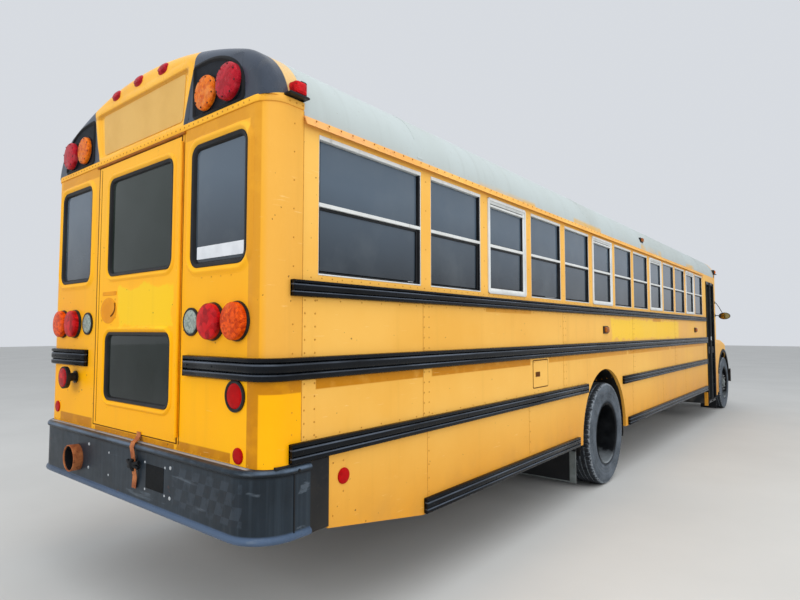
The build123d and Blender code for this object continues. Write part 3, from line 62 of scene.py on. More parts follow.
FULL_TURN = 2 * math.pi


def at(station):
    """The row's Y of a station."""
    return REAR_Y - station


# Camera at the photograph's viewpoint
CAMERA_PLACE = (-3.2064, 7.8074, 1.6074)
CAMERA_HEADING = math.radians(38.757)
CAMERA_RISE = math.radians(3.125)
CAMERA_LENS = 24.92

camera = bpy.data.objects.new("camera", bpy.data.cameras.new("camera"))
bpy.context.scene.collection.objects.link(camera)
camera.data.lens = CAMERA_LENS
camera.data.sensor_width = 36
camera.data.clip_end = 200
camera.location = CAMERA_PLACE
look = Vector((math.sin(CAMERA_HEADING) * math.cos(CAMERA_RISE),
               -math.cos(CAMERA_HEADING) * math.cos(CAMERA_RISE),
               math.sin(CAMERA_RISE)))
camera.rotation_mode = "QUATERNION"
camera.rotation_quaternion = look.to_track_quat("-Z", "Y")
bpy.context.scene.camera = camera


# Finishes
def linear(hex_colour):
    """Linear colour of an sRGB hex value."""
    parts = [int(hex_colour[i:i + 2], 16) / 255 for i in (1, 3, 5)]
    return tuple(c / 12.92 if c <= 0.04045 else ((c + 0.055) / 1.055) ** 2.4 for c in parts)


# Sockets that a node's values fill in turn, where they aren't simply the first ones
SOCKET_ORDER = {"Mix": (0, 6, 7), "TexNoise": (0, 2, 3, 4), "Mapping": (0, 1, 3)}


class Finish:
    """A material whose node tree grows by one call, add."""

    def __init__(self, name, colour, rough, metal=0.0, specular=0.3):
        self.material = bpy.data.materials.new(name)
        self.material.use_nodes = True
        self.material.diffuse_color = (*linear(colour), 1)
        self.tree = self.material.node_tree
        self.shader = self.tree.nodes["Principled BSDF"]
        self.shade("Base Color", (*linear(colour), 1))
        self.shade("Roughness", rough)
        self.shade("Metallic", metal)
        self.shade("Specular IOR Level", specular)
        self.spot = self.add("TexCoord", output=3)
        self.x, self.y, self.z = self.add("SeparateXYZ", self.spot).node.outputs[:3]

    def shade(self, socket, value):
        """Put a constant on the shader, or join a node's result to it."""
        if isinstance(value, bpy.types.NodeSocket):
            self.tree.links.new(value, self.shader.inputs[socket])
        else:
            self.shader.inputs[socket].default_value = value

    def add(self, kind, *values, output=0, **named):
        """Add one node and return its result. Values fill its sockets in turn, a named one goes to the socket
        or setting of that name, a hex value becomes a linear colour, and a kind in capitals is a Math operation."""
        made = self.tree.nodes.new("ShaderNode" + ("Math" if kind.isupper() else kind))
        if kind.isupper():
            made.operation = kind
        if kind == "Mix":
            made.data_type = "RGBA"
            output = 2
        feeds = [(made.inputs[k], value) for k, value in zip(SOCKET_ORDER.get(kind, range(len(values))), values)]
        for key, value in named.items():
            if key in made.inputs:
                feeds.append((made.inputs[key], value))
            else:
                setattr(made, key, value)
        for socket, value in feeds:
            if isinstance(value, bpy.types.NodeSocket):
                self.tree.links.new(value, socket)
            else:
                socket.default_value = (*linear(value), 1) if isinstance(value, str) else value
        return made.outputs[output]

    def relief(self, height, strength, distance):
        """Let a height pattern tilt the surface; distance is its real depth in metres."""
        self.shade("Normal", self.add("Bump", Height=height, Strength=strength, Distance=distance))


def blotch(g, scale, low, high, stretch=(1, 1, 1), detail=5, shift=(0, 0, 0)):
    """Cloudy mask of about `scale` blotches a metre: fractal noise at the place, 0 below low and 1 above high."""
    where = g.add("Mapping", g.spot, shift, stretch)
    return g.add("MapRange", g.add("TexNoise", where, scale, detail, 0.55), low, high)


def between(g, value, low, high, soft=0.002):
    """1 from low to high, fading over soft at both ends: a rising ramp times a falling one."""
    rise = g.add("MapRange", value, low - soft, low + soft)
    return g.add("MULTIPLY", rise, g.add("MapRange", value, high + soft, high - soft))


def patches(g, boxes, soft=0.003):
    """1 inside any box of x range, station range and height range, where None leaves a range open."""
    total = None
    for x_range, stations, heights in boxes:
        mask = None
        y_range = stations and (at(stations[1]), at(stations[0]))
        for value, span in ((g.x, x_range), (g.y, y_range), (g.z, heights)):
            if span:
                part = between(g, value, *span, soft)
                mask = part if mask is None else g.add("MULTIPLY", mask, part)
        total = mask if total is None else g.add("MAXIMUM", total, mask)
    return total


def worn_colour(g, colour, dirt, amount, scale=3.0):
    """Colour under soft clouds and fine specks of dirt."""
    specks = g.add("MULTIPLY", blotch(g, scale * 22, 0.55, 0.75, detail=3), 0.5)
    share = g.add("MULTIPLY", g.add("MAXIMUM", blotch(g, scale, 0.42, 0.72, detail=6), specks), amount)
    return g.add("Mix", share, colour, dirt)


def coarse_finish(name, colour, dirt, rough, metal=0.0, amount=0.5, scale=3.0, grain=60, depth=0.15,
                  specular=0.3):
    """Weathered finish with its own grain in colour, gloss and relief; grain is grits a metre."""
    g = Finish(name, colour, rough, metal, specular)
    g.shade("Base Color", worn_colour(g, colour, dirt, amount, scale))
    grit = blotch(g, grain, 0.0, 1.0, detail=4)
    g.shade("Roughness", g.add("ADD", g.add("MULTIPLY", grit, 0.16), rough - 0.08))
    g.relief(grit, depth, 0.0015)
    return g.material


# Marks left where stripes came off: x range, station range, height range
FAINT_MARKS = (
    ((-1.155, -1.083), (-0.1, 0.1), (1.484, 2.600)),
    ((-1.155, -0.525), (-0.1, 0.1), (2.596, 2.662)),
    ((0.510, 1.100), (-0.1, 0.1), (2.596, 2.662)),
    ((-1.3, -1.1), (2.977, 5.150), (1.330, 1.375)),
    ((-1.3, -1.1), (5.210, 7.150), (1.330, 1.375)),
    ((-1.3, -1.1), (7.210, 9.700), (1.334, 1.375)),
    ((-1.3, -1.1), (1.917, 2.644), (1.738, 1.766)),
    ((-1.3, -1.1), (6.310, 6.700), (1.722, 1.766)),
)
DEEP_MARKS = (
    ((-1.155, -1.086), (-0.1, 0.1), (0.99, 1.376)),
    ((-1.3, -1.086), (-0.1, 0.205), (1.318, 1.376)),
    ((-1.3, -1.1), (0.296, 1.163), (1.325, 1.376)),
    ((-1.3, -1.1), (1.252, 2.620), (1.325, 1.376)),
    ((-0.965, -0.496), (-0.1, 0.1), (0.992, 1.038)),
    ((0.520, 1.014), (-0.1, 0.1), (0.992, 1.055)),
    ((-0.470, 0.470), (-0.1, 0.1), (0.990, 1.016)),
)


def body_yellow():
    """Coach enamel: vivid orange-yellow on the rear and below the rail at its corners, chalked pale on the sides,
    with sharp-edged darker marks where stripes were. Old enamel, so a dull skin over a half gloss."""
    g = Finish("school_bus_yellow_enamel", "#F4B440", 0.45, specular=0.12)
    cloud = blotch(g, 0.9, 0.36, 0.66, shift=(3, 1, 7))
    sides = g.add("Mix", cloud, "#ECAF49", "#F4BE5E")
    sides = g.add("Mix", g.add("MapRange", g.z, 1.10, 0.55), sides, g.add("Mix", cloud, "#D89228", "#E4A036"))
    upper = g.add("MapRange", g.z, 1.6, 2.5)
    rear = g.add("Mix", upper, g.add("Mix", cloud, "#FCAD06", "#FFB90E"), g.add("Mix", cloud, "#F5B02C", "#F9BA3C"))
    on_rear = g.add("MapRange", g.y, at(0.030), at(0.008))
    low_corner = g.add("MULTIPLY", g.add("MapRange", g.y, at(0.2085), at(0.2065)), g.add("MapRange", g.z, 1.385, 1.375))
    colour = g.add("Mix", g.add("MAXIMUM", on_rear, low_corner), sides, rear)
    # Painted shade: the corner strip above the seat rail, from the rear face to the first seam, is darkened towards
    # #E09A30.
    painted_corner_shade = g.add("MULTIPLY", between(g, g.y, at(0.206), at(0.0)), g.add("MapRange", g.z, 1.37, 1.38))
    colour = g.add("Mix", g.add("MULTIPLY", painted_corner_shade, 0.45), colour, "#E09A30")
    ragged = g.add("MULTIPLY", g.add("SUBTRACT", blotch(g, 6, 0.0, 1.0, detail=4), 0.5), 0.14)
    patch_height = g.add("ADD", g.z, ragged)
    repaint = g.add("MULTIPLY", between(g, patch_height, 1.50, 1.735, 0.010),
                    between(g, g.add("ADD", g.y, ragged), at(7.75), at(4.62), 0.03))
    door_patch = g.add("MULTIPLY", g.add("MULTIPLY", between(g, patch_height, 1.634, 1.862, 0.008), on_rear),
                       between(g, g.add("ADD", g.x, ragged), -0.43, 0.190, 0.008))
    colour = g.add("Mix", g.add("MULTIPLY", repaint, 0.85), colour, "#FBCB2E")
    colour = g.add("Mix", g.add("MULTIPLY", door_patch, 0.85), colour, "#F5C81A")
    held = g.add("MapRange", blotch(g, 9, 0.30, 0.50), 0, 1, 0.70, 1.0)
    colour = g.add("Mix", g.add("MULTIPLY", patches(g, FAINT_MARKS), held), colour, "#D8952A")
    colour = g.add("Mix", g.add("MULTIPLY", patches(g, DEEP_MARKS), held), colour, "#C47E0C")
    streak = blotch(g, 1.0, 0.56, 0.76, (11, 11, 0.55))
    colour = g.add("Mix", g.add("MULTIPLY", streak, 0.12), colour, "#B08034")
    splash = g.add("MULTIPLY", g.add("MapRange", g.z, 0.80, 0.50), blotch(g, 5, 0.40, 0.75, detail=6))
    colour = g.add("Mix", g.add("MULTIPLY", splash, 0.30), colour, "#8A7350")
    chips = blotch(g, 38, 0.750, 0.765, detail=2, shift=(5, 5, 5))
    colour = g.add("Mix", g.add("MULTIPLY", chips, 0.8), colour, "#6B4520")
    scratch = blotch(g, 7, 0.70, 0.73, (1, 1, 16), 3)
    colour = g.add("Mix", g.add("MULTIPLY", scratch, 0.25), colour, "#FFE2A0")
    g.shade("Base Color", colour)
    g.shade("Roughness", g.add("ADD", g.add("MULTIPLY", cloud, 0.18), 0.34))
    wave = g.add("ADD", blotch(g, 1.6, 0.0, 1.0, detail=2), g.add("MULTIPLY", blotch(g, 45, 0.0, 1.0, detail=3), 0.03))
    g.relief(wave, 0.30, 0.012)
    return g.material


def roof_white():
    """Chalky grey-white roof enamel, worn through to yellow in places above the drip rail, with faint runs."""
    g = Finish("weathered_white_roof_enamel", "#B6BEBD", 0.5, specular=0.15)
    colour = worn_colour(g, "#B6BFBE", "#A7ADA8", 0.5, 1.3)
    runs = blotch(g, 1.0, 0.54, 0.78, (1.2, 14, 1.2))
    colour = g.add("Mix", g.add("MULTIPLY", runs, 0.20), colour, "#8E928C")
    worn = patches(g, ((None, (1.85, 2.75), (2.60, 2.660)), (None, (3.60, 4.35), (2.60, 2.678)),
                       (None, (5.85, 6.85), (2.60, 2.708)), (None, (8.40, 9.00), (2.60, 2.700))), 0.014)
    worn = g.add("MULTIPLY", worn, blotch(g, 5, 0.36, 0.60, (1, 0.5, 1)))
    colour = g.add("Mix", g.add("MULTIPLY", worn, 0.85), colour, "#DDAE52")
    spots = blotch(g, 30, 0.70, 0.76, detail=3)
    colour = g.add("Mix", g.add("MULTIPLY", spots, 0.5), colour, "#7A6A52")
    g.shade("Base Color", colour)
    g.shade("Roughness", g.add("ADD", g.add("MULTIPLY", blotch(g, 14, 0, 1, detail=4), 0.2), 0.42))
    g.relief(blotch(g, 2.2, 0, 1, detail=3), 0.2, 0.01)
    return g.material


def cap_enamel():
    """Moulded roof cap: yellow centre for the sign, slate-black wings gone blue-grey in the sun, and a cream
    margin next to the roof."""
    g = Finish("faded_cap_enamel", "#3C424E", 0.30, specular=0.35)
    reach = g.add("ABSOLUTE", g.x)
    edge = g.add("ADD", g.add("MULTIPLY", g.add("SUBTRACT", g.z, 2.70), 0.29), 0.503)
    wing = g.add("MapRange", g.add("SUBTRACT", reach, edge), 0.0, 0.004)
    centre = g.add("Mix", blotch(g, 2.2, 0.35, 0.7), "#F3B02A", "#FABD3E")
    fade = blotch(g, 2.6, 0.32, 0.74, (1, 1, 0.6), 6, (2, 2, 2))
    dark = g.add("Mix", fade, "#2E3540", "#48515F")
    dark = g.add("Mix", g.add("MULTIPLY", g.add("MapRange", g.z, 2.95, 3.12), 0.6), dark, "#5B6576")
    foot = g.add("ADD", g.add("MULTIPLY", g.add("SUBTRACT", at(0.040), g.y), 0.30), 2.694)
    dark = g.add("Mix", g.add("MapRange", g.add("SUBTRACT", g.z, foot), 0.002, -0.002), dark, "#F3B540")
    colour = g.add("Mix", wing, centre, dark)
    # Painted shade: a darker ochre band along the sign recess's top lip, where its upper side lies in shade.
    shade = patches(g, (((-0.545, 0.590), None, (2.974, 3.000)),), 0.004)
    colour = g.add("Mix", g.add("MULTIPLY", shade, 0.6), colour, "#BC8020")
    margin = between(g, g.y, at(10.860), at(0.120), 0.003)
    colour = g.add("Mix", margin, colour, g.add("Mix", blotch(g, 3, 0.3, 0.7), "#D9AE68", "#E2BE7C"))
    runs = blotch(g, 1.0, 0.58, 0.78, (15, 3, 0.5))
    colour = g.add("Mix", g.add("MULTIPLY", runs, 0.14), colour, "#8C8474")
    chips = blotch(g, 34, 0.73, 0.75, detail=3)
    g.shade("Base Color", g.add("Mix", g.add("MULTIPLY", chips, 0.5), colour, "#2B2520"))
    g.shade("Roughness", g.add("ADD", g.add("MULTIPLY", fade, 0.20), 0.22))
    g.relief(blotch(g, 1.8, 0, 1, detail=3), 0.22, 0.01)
    return g.material


def drip_yellow():
    """Drip rail enamel, sun-bleached to salmon at the rear end, specked with dirt."""
    g = Finish("bleached_drip_rail_enamel", "#E8A850", 0.5, specular=0.2)
    bleached = g.add("MULTIPLY", g.add("MapRange", g.y, at(1.6), at(0.3)), blotch(g, 4, 0.2, 0.5))
    colour = g.add("Mix", bleached, g.add("Mix", blotch(g, 2.5, 0.35, 0.65), "#E5A648", "#F0B75A"), "#E6A66A")
    specks = blotch(g, 40, 0.60, 0.68, (1, 0.6, 1), 4)
    g.shade("Base Color", g.add("Mix", g.add("MULTIPLY", specks, 0.5), colour, "#A8703A"))
    g.relief(blotch(g, 60, 0, 1, detail=3), 0.15, 0.002)
    return g.material


# Bottom and top of each rub rail
BELT_RAIL = (1.766, 1.844)
SEAT_RAIL = (1.376, 1.482)
FLOOR_RAIL = (0.999, 1.089)
SKIRT_RAIL = (0.520, 0.610)


def rail_black():
    """Glossy black rail enamel, dusty between its bands, with pale painted highlights along the upper shoulders of its
    lower two bands.
    """
    g = Finish("dusty_black_rail_enamel_painted_highlights", "#090C10", 0.22, specular=0.16)
    colour = worn_colour(g, "#07090D", "#15191E", 0.6, 4.0)
    # Painted highlights: pale lines at fixed heights on each rail's band shoulders, broken up by noise.
    crests = patches(g, [(None, None, (low + (high - low) * start, low + (high - low) * end))
                         for low, high in (BELT_RAIL, SEAT_RAIL, FLOOR_RAIL, SKIRT_RAIL)
                         for start, end in ((0.25, 0.30), (0.67, 0.74))], 0.002)
    painted_crest_highlight = g.add("MULTIPLY", crests, blotch(g, 6, 0.30, 0.60, (0.25, 0.25, 1), 5))
    colour = g.add("Mix", g.add("MULTIPLY", painted_crest_highlight, 0.60), colour, "#707A88")
    g.shade("Base Color", colour)
    g.shade("Roughness", g.add("ADD", g.add("MULTIPLY", blotch(g, 24, 0, 1, detail=4), 0.22), 0.17))
    g.relief(blotch(g, 4, 0, 1, detail=3), 0.12, 0.004)
    return g.material


def bumper_slate():
    """Slate bumper enamel on rolled steel: upright rain streaks on the face, lower bead bleached blue-grey,
    a weathered patch of small tilted squares where a covering came off, and scrapes."""
    g = Finish("scraped_slate_bumper_enamel", "#1E272F", 0.38, specular=0.24)
    colour = g.add("Mix", blotch(g, 2.5, 0.32, 0.70, detail=6), "#151D24", "#242F39")
    rain = blotch(g, 1.0, 0.45, 0.70, (38, 38, 1.3), 3)
    colour = g.add("Mix", g.add("MULTIPLY", rain, 0.30), colour, "#3C4751")
    squares = g.add("TexChecker", g.add("CombineXYZ", g.add("ADD", g.x, g.add("MULTIPLY", g.z, 0.35)), 0, g.z),
                    "#353E48", "#20272F", 17.0)
    torn = g.add("MULTIPLY", patches(g, (((-1.105, -0.545), None, (0.735, 0.925)),), 0.004),
                 blotch(g, 13, 0.36, 0.50, detail=4))
    colour = g.add("Mix", g.add("MULTIPLY", torn, 0.60), colour, squares)
    low_bead = g.add("MULTIPLY", g.add("MapRange", g.z, 0.702, 0.694), blotch(g, 5, 0.15, 0.50, (0.3, 1, 1)))
    colour = g.add("Mix", g.add("MULTIPLY", low_bead, 0.92), colour, "#4C5E77")
    # Painted highlight: a broken blue-grey line along the upper half of the top bead.
    crest = g.add("MULTIPLY", between(g, g.z, 0.972, 0.986, 0.004), blotch(g, 7, 0.40, 0.62, (0.35, 1, 1), 6))
    colour = g.add("Mix", g.add("MULTIPLY", crest, 0.50), colour, "#74869C")
    # Pale line along the top edge next to the body: a scuffed edge with a painted highlight.
    shelf = g.add("MULTIPLY", between(g, g.y, REAR_Y - 0.040, REAR_Y + 0.024), g.add("MapRange", g.z, 0.978, 0.982))
    shelf = g.add("MULTIPLY", shelf, g.add("MapRange", g.add("ABSOLUTE", g.x), 1.13, 1.10))
    colour = g.add("Mix", g.add("MULTIPLY", shelf, 0.8), colour, "#AEB6BE")
    # Painted shade: a near-black band over the top bead's underside and the web just below it.
    brow = between(g, g.z, 0.948, 0.968, 0.005)
    colour = g.add("Mix", g.add("MULTIPLY", brow, 0.75), colour, "#0E141A")
    scrape = g.add("MULTIPLY", blotch(g, 9, 0.64, 0.70, (0.25, 1, 2.4), 4), 0.35)
    colour = g.add("Mix", scrape, colour, "#6E7984")
    rust = blotch(g, 13, 0.70, 0.75, detail=6)
    g.shade("Base Color", g.add("Mix", g.add("MULTIPLY", rust, 0.5), colour, "#6E3F24"))
    g.shade("Roughness", g.add("ADD", g.add("MULTIPLY", blotch(g, 18, 0, 1), 0.25), 0.27))
    dents = g.add("ADD", blotch(g, 2.3, 0, 1, detail=2), g.add("MULTIPLY", blotch(g, 26, 0, 1, detail=4), 0.08))
    g.relief(dents, 0.35, 0.008)
    return g.material


def lens_plastic(name, dark, light, faded, cells=80, pitch=0.012):
    """Moulded lens plastic: fine square prisms and larger facets, whose glints are painted into the colour as lighter
    and darker cells and a fine grid, and bleached clouds where the sun reaches it."""
    g = Finish(name, light, 0.26, specular=0.12)
    row = g.add("SINE", g.add("MULTIPLY", g.z, FULL_TURN / pitch))
    column = g.add("SINE", g.add("MULTIPLY", g.x, FULL_TURN / pitch))
    prism = g.add("MULTIPLY", row, column)
    # Painted reflections: each facet and the prism grid shift the colour between the dark and light tones.
    facet = g.add("MapRange", g.add("TexVoronoi", g.spot, Scale=cells, output=1), 0.25, 0.75)
    painted_facet_light = g.add("ADD", g.add("MULTIPLY", facet, 0.7), g.add("MapRange", prism, -0.5, 0.6, 0.0, 0.3))
    colour = g.add("Mix", painted_facet_light, dark, light)
    colour = g.add("Mix", g.add("MULTIPLY", blotch(g, 11, 0.54, 0.70, detail=4), 0.40), colour, faded)
    specks = blotch(g, 90, 0.68, 0.74, detail=2)
    g.shade("Base Color", g.add("Mix", g.add("MULTIPLY", specks, 0.6), colour, "#3A2018"))
    g.relief(prism, 0.35, 0.0015)
    return g.material


def reflector_plastic():
    """Plain deep red reflector plastic with a fine ringed face."""
    g = Finish("flat_red_reflector", "#A80408", 0.24, specular=0.08)
    weave = g.add("SINE", g.add("MULTIPLY", g.z, FULL_TURN / 0.006))
    g.shade("Base Color", g.add("Mix", blotch(g, 30, 0.3, 0.7), "#A00206", "#B6080A"))
    g.relief(weave, 0.15, 0.0006)
    return g.material


def coach_glass_tint(name, high, low, through, floor_z=1.90, top_z=2.45, haze=0.20, specular=0.5):
    """Tinted coach glass with a film of dust; its colour is painted lighter towards its top as a painted reflection of
    the sky.
    """
    g = Finish(name, low, 0.03, specular=specular)
    # Painted reflection: the colour goes from the low tone to the high one with height.
    height = g.add("MapRange", g.add("ADD", g.z, g.add("MULTIPLY", blotch(g, 1.3, 0.2, 0.8, detail=3), 0.14)),
                   floor_z, top_z)
    colour = g.add("Mix", height, low, high)
    film = blotch(g, 3, 0.45, 0.8, detail=6)
    g.shade("Base Color", g.add("Mix", g.add("MULTIPLY", film, haze), colour, "#7E868A"))
    g.shade("Transmission Weight", through)
    g.shade("IOR", 1.5)
    g.shade("Roughness", g.add("ADD", g.add("MULTIPLY", film, 0.06), 0.03))
    return g.material


def tyre_rubber():
    """Tyre rubber: blue-grey dusty sidewalls, darker bead and tread, and a broken pale painted highlight along the
    tread's shoulder. The rings follow the distance from the nearer axle."""
    g = Finish("dusty_tyre_rubber", "#3F444A", 0.85, specular=0.15)
    drop = g.add("MULTIPLY", g.add("SUBTRACT", g.z, AXLE_Z), g.add("SUBTRACT", g.z, AXLE_Z))
    reach = None
    for station in (REAR_AXLE, FRONT_AXLE):
        along = g.add("SUBTRACT", g.y, at(station))
        away = g.add("SQRT", g.add("ADD", g.add("MULTIPLY", along, along), drop))
        reach = away if reach is None else g.add("MINIMUM", reach, away)
    colour = g.add("Mix", blotch(g, 6, 0.30, 0.68, detail=6), "#3C434A", "#626A73")
    colour = g.add("Mix", g.add("MULTIPLY", blotch(g, 70, 0.45, 0.72, detail=3), 0.35), colour, "#7C7E80")
    colour = g.add("Mix", g.add("MapRange", reach, 0.345, 0.320), colour, "#2A2E33")
    tread = g.add("Mix", blotch(g, 20, 0.35, 0.65), "#232629", "#3A3E43")
    colour = g.add("Mix", g.add("MapRange", reach, 0.500, 0.508), colour, tread)
    # Painted highlight: a pale line round the tread's shoulder, broken up by noise.
    shoulder_highlight = g.add("MULTIPLY", between(g, reach, 0.500, 0.516, 0.003), blotch(g, 40, 0.35, 0.55))
    g.shade("Base Color", g.add("Mix", g.add("MULTIPLY", shoulder_highlight, 0.7), colour, "#98A0A8"))
    g.relief(blotch(g, 95, 0, 1, detail=4), 0.35, 0.002)
    return g.material


def rim_enamel():
    """Black wheel enamel with specks of dust, pale grey in the lower half of the rim's barrel."""
    g = Finish("dusty_black_rim_enamel", "#101215", 0.5, 0.1, 0.12)
    low = g.add("MapRange", g.add("ADD", g.z, g.add("MULTIPLY", blotch(g, 9, 0.2, 0.8), 0.10)), 0.37, 0.27)
    # Paler grey towards the bottom of the barrel, laid over the dust specks.
    dusty = g.add("Mix", g.add("MULTIPLY", low, 0.85), worn_colour(g, "#0D0F12", "#343638", 0.5, 5.0), "#858C90")
    g.shade("Base Color", dusty)
    g.relief(blotch(g, 40, 0, 1, detail=4), 0.2, 0.0015)
    return g.material


def exhaust_rust():
    """Orange-brown scale of a hot steel pipe."""
    g = Finish("rusted_exhaust_steel", "#A5603A", 0.75, 0.15)
    colour = g.add("Mix", blotch(g, 16, 0.35, 0.65, detail=6), "#8E4B2B", "#C27A4A")
    g.shade("Base Color", g.add("Mix", blotch(g, 60, 0.60, 0.72, detail=4), colour, "#4A2A1C"))
    g.relief(blotch(g, 60, 0, 1), 0.5, 0.003)
    return g.material


def seat_vinyl():
    """Dark green-grey seat vinyl with a pebbled grain of about 4 mm, coarse enough to show."""
    g = Finish("pebbled_seat_vinyl", "#2E4038", 0.5)
    pebble = g.add("TexVoronoi", g.spot, Scale=220)
    crack = g.add("MapRange", pebble, 0.0, 0.5)
    colour = g.add("Mix", crack, "#22302A", "#3A5147")
    g.shade("Base Color", g.add("Mix", g.add("MULTIPLY", blotch(g, 4, 0.5, 0.75), 0.4), colour, "#5A6C62"))
    g.shade("Roughness", g.add("ADD", g.add("MULTIPLY", crack, 0.2), 0.38))
    g.relief(crack, 0.3, 0.001)
    return g.material


def floor_rubber():
    """Black floor matting, ribbed every 20 mm across the bus, with trodden dust."""
    g = Finish("ribbed_floor_rubber", "#26282A", 0.7)
    rib = g.add("SINE", g.add("MULTIPLY", g.x, FULL_TURN / 0.02))
    colour = g.add("Mix", g.add("MapRange", rib, -0.4, 0.4), "#1D1F21", "#3B3D3E")
    g.shade("Base Color", g.add("Mix", g.add("MULTIPLY", blotch(g, 3, 0.45, 0.75, detail=6), 0.5), colour, "#77726A"))
    g.relief(rib, 0.4, 0.002)
    return g.material


def white_enamel():
    """Stove-white enamel on window aluminium, chalked, with grey runs."""
    g = Finish("chalked_white_window_enamel", "#D8DAD8", 0.42)
    colour = worn_colour(g, "#DBDDDB", "#B2B3AE", 0.45, 5.0)
    run = blotch(g, 1, 0.58, 0.76, (30, 30, 2.5))
    g.shade("Base Color", g.add("Mix", g.add("MULTIPLY", run, 0.30), colour, "#7C7A74"))
    g.relief(blotch(g, 30, 0, 1, detail=4), 0.12, 0.002)
    return g.material


yellow = body_yellow()
white_roof = roof_white()
cap_finish = cap_enamel()
drip_finish = drip_yellow()
rail_finish = rail_black()
bumper_finish = bumper_slate()
tail_red = lens_plastic("prismatic_red_lens", "#86040C", "#D2161C", "#D84046", 34)
tail_amber = lens_plastic("prismatic_amber_lens", "#AE2C00", "#F05A0C", "#F07A28", 75)
warning_red = lens_plastic("sun_faded_red_lens", "#900E1C", "#BC1E2E", "#C86468", 60)
warning_amber = lens_plastic("sun_faded_amber_lens", "#C04E02", "#E87810", "#EBA25C", 60)
marker_amber = lens_plastic("dusty_amber_marker", "#7C3C10", "#B86C24", "#A98752", 60)
clear_lens = lens_plastic("prismatic_backup_lens", "#6E7A76", "#A4B0A6", "#8C9288", 90)
reflector_red = reflector_plastic()
coach_glass = coach_glass_tint("tinted_coach_glass", "#526170", "#1B2127", 0.12)
door_pane = coach_glass_tint("dark_door_glass", "#2A332E", "#141A17", 0.12, 1.10, 2.60, 0.06, 0.22)
entrance_pane = coach_glass_tint("green_entrance_glass", "#1C3A34", "#101D1B", 0.15, 0.30, 2.50, 0.06, 0.3)
tyre_finish = tyre_rubber()
rust_finish = exhaust_rust()
vinyl = seat_vinyl()
matting = floor_rubber()
white_frame = white_enamel()
black_rubber = coarse_finish("weathered_black_rubber", "#121316", "#2F2F30", 0.45, amount=0.5, grain=90)
black_steel = coarse_finish("black_chassis_enamel", "#17181A", "#3B352E", 0.55, 0.1, 0.7, 2.5, 40, 0.3)
rim_finish = rim_enamel()
axle_finish = coarse_finish("oily_axle_iron", "#221F1D", "#4B3A2E", 0.6, 0.5, 0.7, 4, 50, 0.4)
spring_finish = coarse_finish("rusty_spring_steel", "#3A2E27", "#7A5138", 0.7, 0.4, 0.7, 7, 70, 0.4)
iron_grey = coarse_finish("dusty_grey_iron", "#6A706F", "#8E9492", 0.55, 0.3, 0.7, 12, 60, 0.3)
engine_finish = coarse_finish("grey_engine_iron", "#4A4C4E", "#2C2722", 0.6, 0.4, 0.7, 3, 60, 0.4)
bare_steel = coarse_finish("dull_zinc_steel", "#A8ABAC", "#6E6A62", 0.38, 0.85, 0.6, 8, 80, 0.2)
bolt_finish = coarse_finish("painted_bolt_heads", "#B9BDC0", "#7C8084", 0.45, 0.2, 0.5, 20, 120, 0.2)
dash_finish = coarse_finish("grained_dash_plastic", "#2C2F33", "#4A4C4F", 0.6, 0.0, 0.3, 3, 260, 0.4)
step_finish = coarse_finish("worn_step_steel", "#3A3D40", "#8C8880", 0.45, 0.6, 0.7, 6, 60, 0.3)
stop_finish = coarse_finish("faded_red_sign_enamel", "#A81E28", "#8A4A44", 0.35, 0.0, 0.5, 5, 50, 0.15)
liner_black = coarse_finish("matt_black_lamp_liner", "#0D0E11", "#242425", 0.6, 0.0, 0.5, 8, 60, 0.2)
panel_black = coarse_finish("black_bumper_panel", "#06080B", "#15191E", 0.45, 0.0, 0.4, 8, 60, 0.2, 0.08)
# Recess liner: black recess paint, darkened further as painted shade in the warning lamp recesses.
shadow_grey = coarse_finish("dark_recess_enamel_and_painted_shade", "#14171C", "#2B3038", 0.5, 0.0, 0.6, 9, 60, 0.25, 0.12)
sign_yellow = coarse_finish("blank_sign_sheeting", "#DAAE60", "#C8994C", 0.36, 0.0, 0.5, 4, 40, 0.12, 0.12)
gap_brown = coarse_finish("shadowed_brown_gap", "#6A3C0C", "#3C2208", 0.6, 0.0, 0.5, 14, 70, 0.2, 0.1)
seam_ochre = coarse_finish("ochre_seam_shadow", "#A8620C", "#7A4A18", 0.6, 0.0, 0.6, 14, 70, 0.2)
# Orange-ochre of the handle dish and its tab: painted shade in the pressed hollows.
handle_recess_shade = coarse_finish("handle_recess_painted_shade", "#DC8A0A", "#F2A20C", 0.45, 0.0, 0.8, 9, 60, 0.2, 0.12)
rivet_yellow = coarse_finish("dirty_yellow_rivets", "#C98C34", "#8A5C26", 0.5, 0.0, 0.6, 30, 90, 0.2, 0.12)
rivet_vivid = coarse_finish("orange_yellow_rivets", "#E09A14", "#A86F14", 0.5, 0.0, 0.6, 30, 90, 0.2)
strip_white = coarse_finish("bare_white_strip", "#DDE0E4", "#B8BCC2", 0.4, 0.0, 0.5, 12, 70, 0.1)
chrome = coarse_finish("tarnished_chrome", "#C9CCCE", "#8C8D8C", 0.18, 1.0, 0.5, 6, 60, 0.1)
# Mirror silver tinted yellowish tan as a painted reflection of the yellow body, with blotches of tarnish.
mirror_silver = coarse_finish("tarnished_mirror_with_painted_yellow_reflection", "#A2905C", "#5C5238", 0.16, 1.0, 0.6, 14, 30, 0.02)
mirror_shell = coarse_finish("black_mirror_shell", "#16181B", "#3A3C3E", 0.4, 0.0, 0.5, 12, 90, 0.2)

